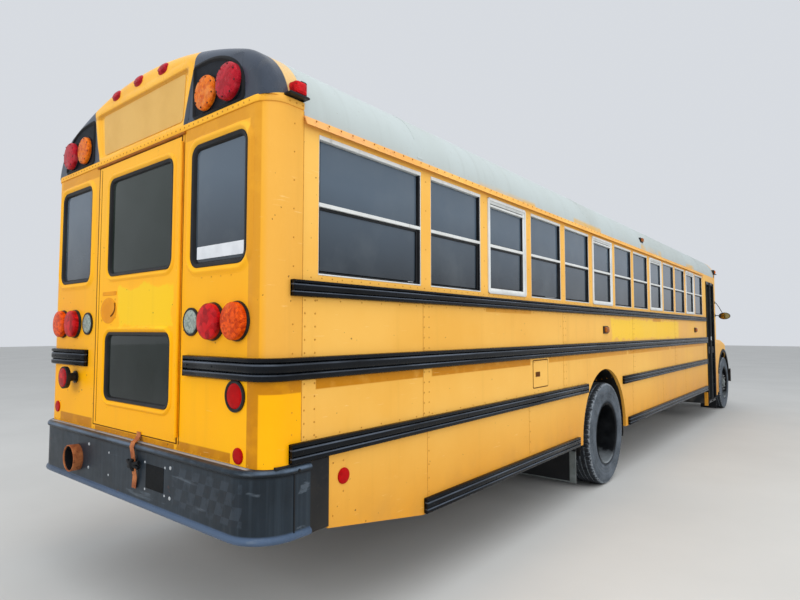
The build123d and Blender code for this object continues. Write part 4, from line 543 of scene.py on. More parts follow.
NODE_FINISHES = {
    yellow: ("side_wall_right", "side_wall_left", "skirts", "rear_wall", "cowl", "rear_door", "bonnet_shell"),
    white_roof: ("roof_shell", "hatch_lid_front", "hatch_lid_rear"),
    cap_finish: ("rear_cap", "front_cap"),
    drip_finish: ("drip_rails",),
    rail_finish: ("entrance_leaf_rear", "entrance_leaf_front", "stop_bracket", "grille"),
    black_steel: ("chassis_frame", "wheelhouses", "front_bumper", "fuel_tank", "battery_box"),
    coach_glass: ("window_glass",),
    door_pane: ("rear_door_glass",),
    entrance_pane: ("entrance_glass_rear", "entrance_glass_front"),
    matting: ("body_floor",),
    step_finish: ("step_well",),
    rim_finish: ("rims_rear_left", "rims_rear_right", "rim_front_left", "rim_front_right"),
    axle_finish: ("rear_axle", "front_axle", "knuckle_left", "knuckle_right", "tie_rod", "drive_shaft"),
    spring_finish: ("leaf_springs",),
    engine_finish: ("engine_block",),
    rust_finish: ("exhaust_pipe",),
    black_rubber: ("mud_flaps",),
    dash_finish: ("dashboard",),
    stop_finish: ("stop_arm",),
}
for finish, nodes in NODE_FINISHES.items():
    for node in nodes:
        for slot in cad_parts[node].material_slots:
            slot.material = finish


# Mesh forms: whole arrays of points, joined by quads between grid neighbours
def spots(x, y, z):
    """Rows of x, y and z from numbers and arrays that broadcast together."""
    return np.stack(np.broadcast_arrays(x, y, z), axis=-1)


def grid_quads(rows, columns, wrap_rows=False, wrap_columns=False):
    """Quads between neighbours of a grid stored row by row; a wrapped side also joins its last line to its first."""
    r = np.arange(rows if wrap_rows else rows - 1)[:, None]
    c = np.arange(columns if wrap_columns else columns - 1)[None, :]
    below, beside = (r + 1) % rows, (c + 1) % columns
    quads = [r * columns + c, r * columns + beside, below * columns + beside, below * columns + c]
    return np.stack(np.broadcast_arrays(*quads), axis=-1).reshape(-1, 4)


class Form:
    """Closed forms gathered into one mesh."""

    def __init__(self):
        self.points = []
        self.faces = []
        self.count = 0

    def add(self, points, *faces):
        """Take a form's points and one or more arrays of faces that number them from nought."""
        points = np.asarray(points, float).reshape(-1, 3)
        self.points.append(points)
        self.faces += [np.atleast_2d(block) + self.count for block in faces]
        self.count += len(points)
        return self

    def piece(self, name, finish, body="root", slot=None, replaces=(), sharp=38):
        """One object at the origin that rides on a body, its faces turned outwards and its edges kept crisp."""
        mesh = bpy.data.meshes.new(name)
        mesh.from_pydata(np.concatenate(self.points).tolist(), [],
                         [face for block in self.faces for face in block.tolist()])
        work = bmesh.new()
        work.from_mesh(mesh)
        bmesh.ops.recalc_face_normals(work, faces=work.faces)
        work.to_mesh(mesh)
        work.free()
        mesh.shade_smooth()
        mesh.set_sharp_from_angle(angle=math.radians(sharp))
        mesh.materials.append(finish)
        made = bpy.data.objects.new(name, mesh)
        bpy.context.scene.collection.objects.link(made)
        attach(made, body)
        if replaces:
            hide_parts(*replaces)
        return made


def rear_plane(u, v, w):
    """u is X, v is height, w stands proud of the rear face."""
    return spots(u, REAR_Y + w, v)


def front_plane(u, v, w):
    """u is X, v is height, w stands proud of the front cap and cowl."""
    return spots(u, at(BODY_FRONT) - w, v)


def door_plane(u, v, w):
    """u is X, v is height, w stands proud of the rear door's skin."""
    return rear_plane(u, v, w + DOOR_PROUD)


def side_plane(side):
    """u is the station, v is height, w stands proud of that side."""
    return lambda u, v, w: spots(side * (HALF + w), at(u), v)


ENDS = ((rear_plane, "rear"), (front_plane, "front"))


def rounded(u0, u1, v0, v1, radius, steps=5):
    """Outline of a rectangle with round corners, as rows of place and outward direction: four quarter circles
    about the corners' centres."""
    angle = (np.linspace(0, np.pi / 2, steps + 1) + np.arange(4)[:, None] * np.pi / 2).ravel()
    cu = np.repeat([u1 - radius, u0 + radius, u0 + radius, u1 - radius], steps + 1)
    cv = np.repeat([v1 - radius, v1 - radius, v0 + radius, v0 + radius], steps + 1)
    out_u, out_v = np.cos(angle), np.sin(angle)
    return np.stack([cu + radius * out_u, cv + radius * out_v, out_u, out_v], axis=1)


def oval(cu, cv, wide, tall=None, steps=40):
    """Outline of an ellipse by its half sizes, a circle where only one is given."""
    angle = np.arange(steps) * FULL_TURN / steps
    out_u, out_v = np.cos(angle), np.sin(angle)
    return np.stack([cu + wide * out_u, cv + (tall or wide) * out_v, out_u, out_v], axis=1)


def flared(loop, low_v, per_metre):
    """Outline with its sides leaning out: u grows with the height above low_v."""
    return np.column_stack([loop[:, 0] * (1 + (loop[:, 1] - low_v) * per_metre), loop[:, 1:]])


def layers(loop, levels, plane, centre=None):
    """Closed form: the outline lifted through levels of (inset, proud) and capped at both ends. The inset is a
    distance outwards or, with a centre, a share of the outline's size."""
    u, v, out_u, out_v = loop.T[:, None, :]
    inset, proud = np.array(levels, float).T[:, :, None]
    if centre is None:
        pu, pv = u + out_u * inset, v + out_v * inset
    else:
        pu, pv = centre[0] + (u - centre[0]) * inset, centre[1] + (v - centre[1]) * inset
    count, size = pu.shape
    last = np.arange(size) + (count - 1) * size
    return plane(pu, pv, proud), grid_quads(count, size, wrap_columns=True), np.arange(size)[::-1], last


def plate(loop, low, high, plane, edge=0.0):
    """Flat plate with the outline between two levels, its front edge eased."""
    levels = [(0, low), (0, high - edge), (-edge, high)] if edge else [(0, low), (0, high)]
    return layers(loop, levels, plane)


def ring(loop, section, plane):
    """Closed frame: the section's (outward, proud) outline carried round a closed loop."""
    u, v, out_u, out_v = loop.T[:, :, None]
    out, proud = np.array(section, float).T[:, None, :]
    return plane(u + out_u * out, v + out_v * out, proud), grid_quads(len(loop), len(section), True, True)


def rail(path, section, ease=0.0):
    """Rail: the section's (out, height) outline carried along rows of (x, y, out x, out y), with closed ends that
    round off over the ease by a quarter circle."""
    path = np.array(path, float)
    section = np.array(section, float)
    run = np.concatenate([[0], np.cumsum(np.hypot(*np.diff(path[:, :2], axis=0).T))])
    if ease:
        near = ease * np.array([0.0, 0.06, 0.2, 0.45, 1.0])
        places = np.unique(np.concatenate([run, near, run[-1] - near]))
        path = np.stack([np.interp(places, run, column) for column in path.T], axis=1)
        run = places
    to_end = np.minimum(run, run[-1] - run)
    share = np.clip(to_end / ease, 0, 1) if ease else np.ones(len(run))
    shrink = (ease * (1 - np.sqrt(1 - (1 - share) ** 2)))[:, None]
    middle = (section[:, 1].min() + section[:, 1].max()) / 2
    half = (section[:, 1].max() - section[:, 1].min()) / 2
    height = middle + (section[None, :, 1] - middle) * (1 - shrink / half)
    out = section[None, :, 0] * (0.35 + 0.65 * np.sqrt(1 - (1 - share) ** 2))[:, None]
    points = spots(path[:, :1] + path[:, 2:3] * out, path[:, 1:2] + path[:, 3:4] * out, height)
    size = len(section)
    ends = np.arange(size), np.arange(size)[::-1] + (len(path) - 1) * size
    return points, grid_quads(len(path), size, wrap_columns=True), *ends


def tube(route, radius, steps=12):
    """Round bar: circles square to the run at each place of a route, closed at both ends."""
    route = np.array(route, float)
    run = np.gradient(route, axis=0)
    run /= np.linalg.norm(run, axis=1, keepdims=True)
    lean = np.eye(3)[np.argmin(np.abs(run).max(axis=0))]
    across = np.cross(run, lean)
    across /= np.linalg.norm(across, axis=1, keepdims=True)
    up = np.cross(across, run)
    angle = (np.arange(steps) * FULL_TURN / steps)[None, :, None]
    points = route[:, None] + radius * (across[:, None] * np.cos(angle) + up[:, None] * np.sin(angle))
    last = np.arange(steps) + (len(route) - 1) * steps
    return points, grid_quads(len(route), steps, wrap_columns=True), np.arange(steps)[::-1], last


def turned(section, centre, axis, steps):
    """Turned form: a closed (along, radius) outline carried round an axis through the centre."""
    along, radius = np.array(section, float).T[:, None, :]
    angle = (np.arange(steps) * FULL_TURN / steps)[:, None]
    across, up = radius * np.cos(angle), radius * np.sin(angle)
    order = {"X": (along, across, up), "Y": (across, along, up), "Z": (across, up, along)}[axis]
    return spots(*order) + np.array(centre), grid_quads(steps, len(section), True, True)


def heads(form, us, vs, plane, radius=0.005, height=0.0025, steps=6, base=0.0):
    """Rivet or bolt heads at many places: each a low cone of three rings with a flat crown, closed below."""
    us, vs = (np.atleast_1d(a).astype(float).ravel() for a in np.broadcast_arrays(us, vs))
    angle = np.arange(steps) * FULL_TURN / steps
    share = np.array([1.0, 0.85, 0.4])[None, :, None]
    proud = base + height * np.array([0.0, 0.7, 1.0])[None, :, None]
    across, up = radius * share * np.cos(angle), radius * share * np.sin(angle)
    points = plane(us[:, None, None] + across, vs[:, None, None] + up, proud)
    start = (np.arange(len(us)) * 3 * steps)[:, None]
    quads = (grid_quads(3, steps, wrap_columns=True).reshape(1, -1) + start).reshape(-1, 4)
    form.add(points, quads, np.arange(steps)[::-1] + start, np.arange(steps) + 2 * steps + start)


def hex_bolt(form, u, v, plane, radius, height, base=0.0):
    """Hexagon head on a round washer."""
    form.add(*plate(oval(u, v, radius * 1.35, steps=16), base, base + height * 0.25, plane))
    form.add(*plate(oval(u, v, radius, steps=6), base + height * 0.25, base + height, plane, height * 0.15))


def row(first, last, pitch):
    """Evenly spread places from first to last at about a pitch."""
    return np.linspace(first, last, max(1, round(abs(last - first) / pitch)) + 1)


def slab(form, x0, x1, s0, s1, z0, z1, ease=0.002):
    """Block between stations whose edges along the bus are eased."""
    outline = rounded(min(x0, x1), max(x0, x1), z0, z1, ease, 2)
    form.add(*plate(outline, at(s1), at(s0), lambda u, v, w: spots(u, w, v)))


# Rub rails: pressed bands round the body
def rail_section(bottom, top, crest=0.028, groove=0.016):
    """Rail seen end on: three bands side by side, each a bulge that rises as one less the fifth power of the
    distance from its middle, between narrow grooves."""
    t = np.linspace(0, 1, 9)
    outline = [(0.0, bottom)]
    for low, high in ((0.0, 0.33), (0.33, 0.79), (0.79, 1.0)):
        out = groove + (crest - groove) * (1 - np.abs(2 * t - 1) ** 5)
        outline += list(zip(out, bottom + (top - bottom) * (low + (high - low) * t)))
    return outline + [(0.0, top)]


def corner_path(side, front, rear_x, steps=12):
    """Plan path from the front along one side, round the rear corner and onto the rear face."""
    angle = np.linspace(0, np.pi / 2, steps + 1)[1:]
    across, back = side * np.cos(angle), np.sin(angle)
    along = [(side * HALF, at(s), side, 0) for s in row(front, CORNER, 0.7)]
    turn = np.stack([side * (HALF - CORNER) + CORNER * across, REAR_Y - CORNER + CORNER * back, across, back], axis=1)
    return np.concatenate([along, turn, [(rear_x, REAR_Y, 0, 1)]])


RAIL_OUT = 0.0265  # where end plates and bolt heads sit, just inside the crests
RAIL_BOLT = 0.007, 0.003  # radius, height
END_PLATE = 0.006
SIDE_RAILS = (
    # heights, station from, station to
    (BELT_RAIL, 0.134, 9.810),
    (FLOOR_RAIL, 0.134, 3.850),
    (FLOOR_RAIL, 4.970, 9.850),
    (SKIRT_RAIL, 1.170, 3.610),
    (SKIRT_RAIL, 5.145, 9.800),
)


def rail_end(form, u, heights, plane):
    """Plate that closes a rail's end, 1 mm inside its bottom and top."""
    end = rounded(u, u + END_PLATE, heights[0] + 0.001, heights[1] - 0.001, 0.002, 2)
    form.add(*plate(end, 0.0, RAIL_OUT, plane, 0.003))


rails, rail_bolts = Form(), Form()
for side in (-1, 1):
    plane = side_plane(side)
    for heights, start, end in SIDE_RAILS:
        straight = [(side * HALF, at(s), side, 0) for s in row(start, end, 0.7)]
        rails.add(*rail(straight, rail_section(*heights), 0.007))
        for s in (start, end - END_PLATE):
            rail_end(rails, s, heights, plane)
        middle_band = heights[0] + (heights[1] - heights[0]) * 0.56
        heads(rail_bolts, row(start + 0.06, end - 0.06, PITCH), middle_band, plane, *RAIL_BOLT, base=RAIL_OUT)
    rails.add(*rail(corner_path(side, 9.910, -0.580 if side < 0 else 0.600), rail_section(*SEAT_RAIL), 0.007))
    rail_end(rails, -0.583 if side < 0 else 0.600, SEAT_RAIL, rear_plane)
    heads(rail_bolts, row(0.20, 9.84, PITCH), 1.435, plane, *RAIL_BOLT, base=RAIL_OUT)
heads(rail_bolts, (-1.05, -0.84, -0.62, 0.64, 0.85, 1.06), 1.435, rear_plane, *RAIL_BOLT, base=RAIL_OUT)
rails.piece("rub_rail_pressings", rail_finish, slot="black_trim", replaces=("rub_rails",))
rail_bolts.piece("rub_rail_bolts", rail_finish, slot="black_trim")

# Rear bumper: rolled channel, a half-round bead along both edges, in one sweep round three sides
BUMPER_LOW, BUMPER_HIGH = 0.660, 0.988
BUMPER_FACE = 0.045  # how far its web stands behind the rear face
BUMPER_TURN = 0.200  # radius of its corners
BEAD = 0.017  # radius of its beads
PIPE_X, PIPE_Z = 0.590, 0.812  # the tail pipe's middle


def bumper_plane(u, v, w):
    """u is X, v is height, w stands proud of the bumper's rear face."""
    return spots(u, REAR_Y + BUMPER_FACE + w, v)


def bumper_path(steps=16):
    """Plan of the bumper's face: across the rear and round both corners by quarter circles."""
    half, turn, face = HALF + 0.012, BUMPER_TURN, REAR_Y + BUMPER_FACE
    angle = np.linspace(0, np.pi / 2, steps + 1)
    right = np.stack([-half + turn - turn * np.cos(angle), face - turn + turn * np.sin(angle), -np.cos(angle),
                      np.sin(angle)], axis=1)
    left = right[::-1] * np.array([-1, 1, -1, 1])
    middle = [(x, face, 0, 1) for x in row(-0.80, 0.80, 0.4)]
    return np.concatenate([[(-half, at(0.255), -1, 0)], right, middle, left, [(half, at(0.255), 1, 0)]])


def bumper_section():
    """Channel seen end on, with two half-round beads that stand proud of its web."""
    angle = np.linspace(-np.pi / 2, np.pi * 0.42, 12)
    low_bead = np.stack([-0.002 + BEAD * np.cos(angle), BUMPER_LOW + BEAD + BEAD * np.sin(angle)], axis=1)
    high_bead = (low_bead * (1, -1) + (0, BUMPER_LOW + BUMPER_HIGH))[::-1]
    inside = [(-0.055, BUMPER_HIGH), (-0.055, BUMPER_HIGH - 0.006), (-0.010, BUMPER_HIGH - 0.006),
              (-0.010, BUMPER_LOW + 0.006), (-0.055, BUMPER_LOW + 0.006), (-0.055, BUMPER_LOW)]
    return np.concatenate([low_bead, high_bead, inside])


Form().add(*rail(bumper_path(), bumper_section())).piece("rear_bumper_channel", bumper_finish, slot="bumper_paint",
                                                        replaces=("rear_bumper",), sharp=50)
corner_plates, seams, fittings, bumper_bolts = Form(), Form(), Form(), Form()
for side in (-1, 1):
    slab(corner_plates, side * (HALF - 0.02), side * (HALF + 0.008), 0.258, 0.380, 0.660, 0.995, 0.004)
    slab(corner_plates, side * (HALF - 0.03), side * (HALF + 0.006), 0.060, 0.262, 0.985, 0.998, 0.002)
    slab(seams, side * (HALF + 0.004), side * (HALF + 0.0165), 0.1535, 0.1605, 0.664, 0.985, 0.0005)
    heads(seams, 0.176, 0.969, side_plane(side), 0.009, 0.005, 8, 0.026)
corner_plates.piece("bumper_corner_plates", black_steel, slot="black_trim")
seams.piece("bumper_side_seams", liner_black, slot="bumper_paint")
fittings.add(*plate(rounded(-0.462, -0.276, 0.772, 0.900, 0.008, 3), -0.001, 0.0035, bumper_plane, 0.001))
fittings.add(*ring(rounded(0.170, 0.350, 0.778, 0.902, 0.006, 3),
                   [(0, 0), (0, 0.002), (-0.004, 0.002), (-0.004, 0)], bumper_plane))
# Black ring round the tail pipe: painted shade of the gap in the bumper's hole that the pipe passes through.
fittings.add(*ring(oval(PIPE_X, PIPE_Z, 0.098, steps=48),
                   [(0, -0.001), (0, 0.002), (-0.025, 0.002), (-0.025, -0.001)], bumper_plane))
fittings.piece("bumper_panel_and_pipe_hole_shade", panel_black, slot="bumper_paint")
heads(bumper_bolts, (0.430, 0.431, -0.526, -0.524), (0.912, 0.771, 0.912, 0.761), bumper_plane, 0.011, 0.006, 8)
heads(bumper_bolts, (0.160, 0.163, -0.265, -0.268, -0.473, -0.470), (0.896, 0.768, 0.905, 0.764, 0.905, 0.764),
      bumper_plane, 0.008, 0.004, 8)
bumper_bolts.piece("bumper_bolt_heads", bolt_finish, slot="bumper_paint")

# Rusty strap hung from the door sill over the bumper's top bead, knotted in the middle
strap, knot = Form(), Form()
STRAP_EDGE = np.array([(-0.022, 0), (0.022, 0), (0.022, 0.003), (-0.022, 0.003)])


def bend(start, middle, end, steps):
    """Bent line from start to end that leans towards the middle: a curve of the second degree."""
    t = np.linspace(0, 1, steps)[:, None]
    return (1 - t) ** 2 * start + 2 * t * (1 - t) * np.array(middle) + t ** 2 * np.array(end)


def strap_length(route):
    """Flat bar: its section laid across the bus at each (x, proud, height, tilt) of the route, where tilt turns the
    thickness from rearwards to upwards."""
    x, proud, height, tilt = np.array(route, float).T[:, :, None]
    across, thick = STRAP_EDGE.T[:, None, :]
    points = spots(x + across, REAR_Y + proud + thick * np.cos(tilt), height + thick * np.sin(tilt))
    return points, grid_quads(len(route), 4, wrap_columns=True), np.arange(4), np.arange(4)[::-1] + 4 * (len(route) - 1)


strap.add(*strap_length([(-0.104, 0.004, 1.040, 0.2), (-0.110, 0.008, 1.018, 0.6), (-0.124, 0.028, 0.999, 1.2),
                         (-0.140, 0.052, 0.993, 1.0), (-0.150, 0.064, 0.972, 0.3), (-0.162, 0.062, 0.930, 0.0),
                         (-0.168, 0.060, 0.880, 0.0)]))
strap.add(*strap_length([(-0.172, 0.062, 0.890, 0.1), (-0.182, 0.064, 0.850, 0.0), (-0.186, 0.060, 0.815, 0.1),
                         (-0.172, 0.056, 0.780, 0.2), (-0.160, 0.052, 0.752, 0.0)]))
strap.piece("rusty_strap", rust_finish, slot="bumper_paint")
for start, middle, end in (((-0.225, 0.062, 0.898), (-0.165, 0.084, 0.878), (-0.100, 0.060, 0.892)),
                           ((-0.218, 0.060, 0.866), (-0.175, 0.082, 0.893), (-0.120, 0.064, 0.864)),
                           ((-0.172, 0.070, 0.912), (-0.166, 0.088, 0.882), (-0.178, 0.066, 0.850))):
    knot.add(*tube(bend(start, middle, end, 9) + (0, REAR_Y, 0), 0.010, 10))
knot.piece("strap_knot", liner_black, slot="black_trim")

# Tail pipe: steel tube with a wider tip that ends just behind the bumper, sooty inside
tail_pipe, soot = Form(), Form()
tail_pipe.add(*turned([(-2.60, 0.060), (-2.60, 0.064), (-0.02, 0.064), (0.0, 0.079), (0.102, 0.081), (0.1048, 0.078),
                       (0.102, 0.075), (0.0, 0.072), (-0.02, 0.060)], (PIPE_X, REAR_Y, PIPE_Z), "Y", 40))
for station in (0.90, 1.90):
    slab(tail_pipe, 0.432, 0.592, station, station + 0.040, 0.800, 0.824)
tail_pipe.piece("rusty_tail_pipe", rust_finish, slot="bumper_paint", replaces=("exhaust_pipe",))
soot.add(*turned([(-0.30, 0.0590), (-0.02, 0.0590), (0.0, 0.0715), (0.096, 0.0745), (0.094, 0.0725), (0.0, 0.0700),
                  (-0.28, 0.0575), (-0.28, 0.001), (-0.30, 0.001)], (PIPE_X, REAR_Y, PIPE_Z), "Y", 40))
soot.piece("tail_pipe_soot", liner_black, slot="black_trim")


# Lamps
def dark_ring(name, u, v, radius, plane, body="root", width=0.009, proud=0.010, base=0.0):
    """Rubber ring that a lens sits in."""
    section = [(0, base - 0.001), (0, base + proud), (-width * 0.5, base + proud + 0.003), (-width, base + proud),
               (-width, base - 0.001)]
    Form().add(*ring(oval(u, v, radius, steps=48), section, plane)).piece(name, black_rubber, body, "black_trim")


def domed_lens(name, u, v, radius, low, high, plane, finish, slot, body="root"):
    """Lens with a straight moulded edge and a shallow crown."""
    rise = high - low
    levels = [(1.0, low), (1.0, low + rise * 0.50), (0.985, low + rise * 0.66), (0.93, low + rise * 0.80),
              (0.80, low + rise * 0.90), (0.55, low + rise * 0.97), (0.28, high), (0.04, high)]
    Form().add(*layers(oval(u, v, radius, steps=48), levels, plane, (u, v))).piece(name, finish, body, slot)


def proud_lamp(name, u, v, radius, plane, finish, slot, body_depth=0.014, lens_depth=0.034, base=0.0, dots=6):
    """Round lamp on a black drum, its lens screwed on near the edge."""
    drum = [(1.0, base - 0.001), (1.02, base + 0.004), (1.0, base + body_depth * 0.5), (0.99, base + body_depth)]
    drum = Form().add(*layers(oval(u, v, radius, steps=48), drum, plane, (u, v)))
    drum.piece(name + "_drum", black_rubber, slot="black_trim")
    top = base + body_depth
    domed_lens(name + "_lens", u, v, radius * 0.955, top - 0.002, top + lens_depth, plane, finish, slot)
    if dots:
        marks = Form()
        angle = FULL_TURN * (np.arange(dots) + 0.3) / dots
        heads(marks, u + radius * 0.82 * np.cos(angle), v + radius * 0.82 * np.sin(angle), plane, 0.005, 0.002, 8,
              top + lens_depth * 0.885)
        marks.piece(name + "_screws", liner_black, slot="black_trim")


TAIL_Z = 1.650
WARNING_Z = 2.807
for side, hand in SIDES:
    proud_lamp("tail_amber_" + hand, side * 1.007, TAIL_Z, 0.0935, rear_plane, tail_amber, "lens_amber", dots=0)
    proud_lamp("tail_red_" + hand, side * 0.810, TAIL_Z, 0.0925, rear_plane, tail_red, "lens_red", 0.016, dots=0)
    dark_ring(f"backup_{hand}_rim", side * 0.615, TAIL_Z, 0.072, rear_plane, width=0.012, proud=0.008)
    domed_lens(f"backup_{hand}_lens", side * 0.615, TAIL_Z, 0.061, 0.0, 0.014, rear_plane, clear_lens, "lens_clear")
    for plane, end in ENDS:
        proud_lamp(f"warning_amber_{end}_{hand}", side * 0.721, WARNING_Z, 0.093, plane, warning_amber, "lens_amber",
                   0.006, 0.024, 0.0, 8)
        proud_lamp(f"warning_red_{end}_{hand}", side * 0.925, WARNING_Z, 0.0955, plane, warning_red, "lens_red",
                   0.008, 0.034, 0.0, 8)

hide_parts("lamps_amber")
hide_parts("lamps_red")
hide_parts("lamps_clear")


# Cap recesses round the warning lamps: straight by the sign, curved over the lamps
def recess_arch(angle):
    """Upper outer corner of a recess: places and directions on an ellipse at the angles."""
    out_u, out_v = np.cos(angle), np.sin(angle)
    return np.stack([0.690 + 0.334 * out_u, 2.776 + 0.200 * out_v, out_u, out_v], axis=1)


def hood_outline(side):
    """Outline of a recess: a rectangle whose upper outer corner is a wide quarter ellipse."""
    rest = np.array([(0.612, 2.976, 0.0, 1.0), (0.600, 2.964, -1.0, 0.0), (0.600, 2.716, -1.0, 0.0),
                     (0.612, 2.704, 0.0, -1.0), (1.012, 2.704, 0.0, -1.0), (1.024, 2.716, 1.0, 0.0)])
    return np.concatenate([recess_arch(np.linspace(0, np.pi / 2, 13)), rest]) * (side, 1, side, 1)


def cap_fall(u, v):
    """How far the cap's skin lies behind its flat face: a quarter round of the cap's edge radius run along the
    roof's shoulder arc."""
    inside = SHOULDER - np.hypot(np.abs(u) - (HALF - SHOULDER), v - EAVES_Z)
    return CAP_EDGE - np.sqrt(CAP_EDGE ** 2 - np.clip(CAP_EDGE - inside, 0, CAP_EDGE) ** 2)


for side, hand in SIDES:
    for plane, end in ENDS:
        outline = hood_outline(side)
        along_top = np.column_stack([np.linspace(0.890, 0.993, 6), np.full(6, 2.9445)])
        down_side = np.column_stack([np.full(6, 1.0125), np.linspace(2.933, 2.845, 6)])
        edge = np.concatenate([recess_arch(np.linspace(0.275, 0.995, 9))[:, :2], along_top, down_side])
        filler = plate(np.column_stack([edge * (side, 1), edge * 0]), -0.003, 0.0006,
                       lambda u, v, w: plane(u, v, w - cap_fall(u, v)))
        Form().add(*filler).piece(f"cap_wing_filler_{end}_{hand}", cap_finish, slot="cap_paint")
        # The liner fills each recess in near-black: black paint darkened as painted shade.
        liner = Form().add(*plate(outline, -0.0118, 0.0008, plane))
        liner.piece(f"warning_recess_{end}_{hand}", shadow_grey, slot="black_trim")
        lip = Form().add(*ring(outline, [(-0.012, 0.0), (-0.010, 0.003), (-0.002, 0.009), (0.006, 0.008),
                                         (0.014, 0.001), (0.006, -0.004)], plane))
        lip.piece(f"warning_recess_lip_{end}_{hand}", liner_black, slot="black_trim")

# Sign: blank sheeting in a sunk panel that widens upwards
for plane, end in ENDS:
    sheet = flared(rounded(-0.470, 0.462, 2.726, 2.984, 0.022, 5), 2.72, 0.20)
    sign = Form().add(*plate(sheet, -0.0118, -0.0085, plane, 0.0015))
    sign.piece("blank_sign_" + end, sign_yellow, slot="cap_paint")
    lip = Form().add(*ring(flared(rounded(-0.500, 0.506, 2.716, 2.997, 0.030, 6), 2.71, 0.26),
                           [(-0.008, -0.0118), (0.000, -0.004), (0.006, 0.004), (0.016, 0.0065), (0.034, 0.004),
                            (0.048, 0.0005), (0.048, -0.002), (0.0, -0.0118)], plane))
    lip.piece("sign_recess_lip_" + end, cap_finish, slot="cap_paint")

# Flange along the cap's foot, riveted, wrapped round both corners
flange, flange_rivets = Form(), Form()
turn = np.linspace(0, np.pi / 2, 13)
quarter = np.stack([-(HALF - CORNER) - CORNER * np.cos(turn), REAR_Y - CORNER + CORNER * np.sin(turn), -np.cos(turn),
                    np.sin(turn)], axis=1)
half_way = np.concatenate([[(-HALF, at(0.204), -1, 0)], quarter, [(-0.5, REAR_Y, 0, 1)]])
flange.add(*rail(np.concatenate([half_way, half_way[::-1] * (-1, 1, -1, 1)]),
                 [(-0.002, 2.660), (0.0045, 2.6605), (0.006, 2.664), (0.006, 2.689), (0.004, 2.694), (-0.002, 2.695)]))
heads(flange_rivets, row(-1.08, 1.08, 0.043), 2.677, rear_plane, 0.0052, 0.003, base=0.0055)
for side in (-1, 1):
    heads(flange_rivets, row(0.115, 0.195, 0.040), 2.677, side_plane(side), 0.0052, 0.003, base=0.0055)
flange.piece("cap_foot_flange", yellow, slot="body_paint")
flange_rivets.piece("cap_flange_rivets", rivet_yellow, slot="body_paint")


def roof_rise(x):
    """Height of the roof's outside over a distance from the middle: a wide crown arc between two shoulder arcs."""
    inner, rise = HALF - SHOULDER, ROOF_TOP - EAVES_Z
    crown = (inner ** 2 + rise ** 2 - SHOULDER ** 2) / (2 * (rise - SHOULDER))
    tilt = math.asin(inner / (crown - SHOULDER))
    x = np.abs(x)
    over = ROOF_TOP - crown + np.sqrt(np.maximum(crown ** 2 - x ** 2, 0))
    shoulder = EAVES_Z + np.sqrt(np.maximum(SHOULDER ** 2 - (x - inner) ** 2, 0))
    return np.where(x <= crown * math.sin(tilt), over, shoulder)


# Marker lamps on the caps' brow, facing out over the edge
TILT_SIN, TILT_COS = math.sin(math.radians(24)), math.cos(math.radians(24))
for number, x in enumerate((0.300, 0.020, -0.263), 1):
    for end, station, sign, finish, slot in (("rear", 0.010, 1, warning_red, "lens_red"),
                                             ("front", BODY_FRONT - 0.010, -1, warning_amber, "lens_amber")):
        def brow(u, v, w):
            """Plane of one lamp: u is X from its middle, v runs up the tilted brow, w stands proud of it."""
            return spots(x + u, at(station) + sign * (w * TILT_COS - v * TILT_SIN),
                         float(roof_rise(x)) - 0.060 + v * TILT_COS + w * TILT_SIN)

        base = Form().add(*layers(oval(0, 0, 0.062, 0.036), [(1, -0.018), (1, 0.000), (0.95, 0.004)], brow, (0, 0)))
        base.piece(f"brow_marker_base_{end}_{number}", finish, slot=slot)
        dome_levels = [(1, 0.000), (0.98, 0.008), (0.86, 0.016), (0.5, 0.021), (0.05, 0.023)]
        dome = Form().add(*layers(oval(0, 0, 0.055, 0.031), dome_levels, brow, (0, 0)))
        dome.piece(f"brow_marker_{end}_{number}", finish, slot=slot)

# Clearance lamps at the caps' corners, and a small marker on each roof side
for side, hand in SIDES:
    plane = side_plane(side)
    for end, station, back_u0, back_u1, lens_u, finish, slot in (
            ("rear", 0.150, 0.020, 0.060, 0.016, tail_red, "lens_red"),
            ("front", BODY_FRONT - 0.150, -0.060, -0.020, -0.016, warning_amber, "lens_amber")):
        tray = rounded(station - 0.060, station + 0.060, 2.700, 2.712, 0.005, 2)
        back = rounded(station + back_u0, station + back_u1, 2.700, 2.790, 0.008, 3)
        base = Form().add(*plate(tray, -0.040, 0.040, plane, 0.003)).add(*plate(back, -0.050, 0.020, plane, 0.006))
        base.piece(f"clearance_base_{end}_{hand}", black_rubber, slot="black_trim")
        middle = station + lens_u
        lens = layers(rounded(middle - 0.036, middle + 0.036, 2.716, 2.780, 0.014, 4),
                      [(1, -0.020), (0.99, 0.018), (0.88, 0.028), (0.5, 0.034), (0.05, 0.035)], plane, (middle, 2.748))
        Form().add(*lens).piece(f"clearance_lens_{end}_{hand}", finish, slot=slot)
    edge = np.linspace(1.215, 1.08, 28)
    out = float(np.interp(2.766, roof_rise(edge), edge)) - HALF
    base = Form().add(*plate(rounded(5.850, 5.970, 2.728, 2.790, 0.010, 3), out - 0.040, out + 0.018, plane, 0.006))
    base.piece("roof_side_marker_base_" + hand, black_rubber, slot="black_trim")
    marker = Form().add(*layers(rounded(5.870, 5.950, 2.742, 2.786, 0.012, 4),
                                [(1, out + 0.010), (1, out + 0.024), (0.85, out + 0.034), (0.1, out + 0.038)], plane,
                                (5.910, 2.764)))
    marker.piece("roof_side_marker_" + hand, marker_amber, slot="lens_amber")

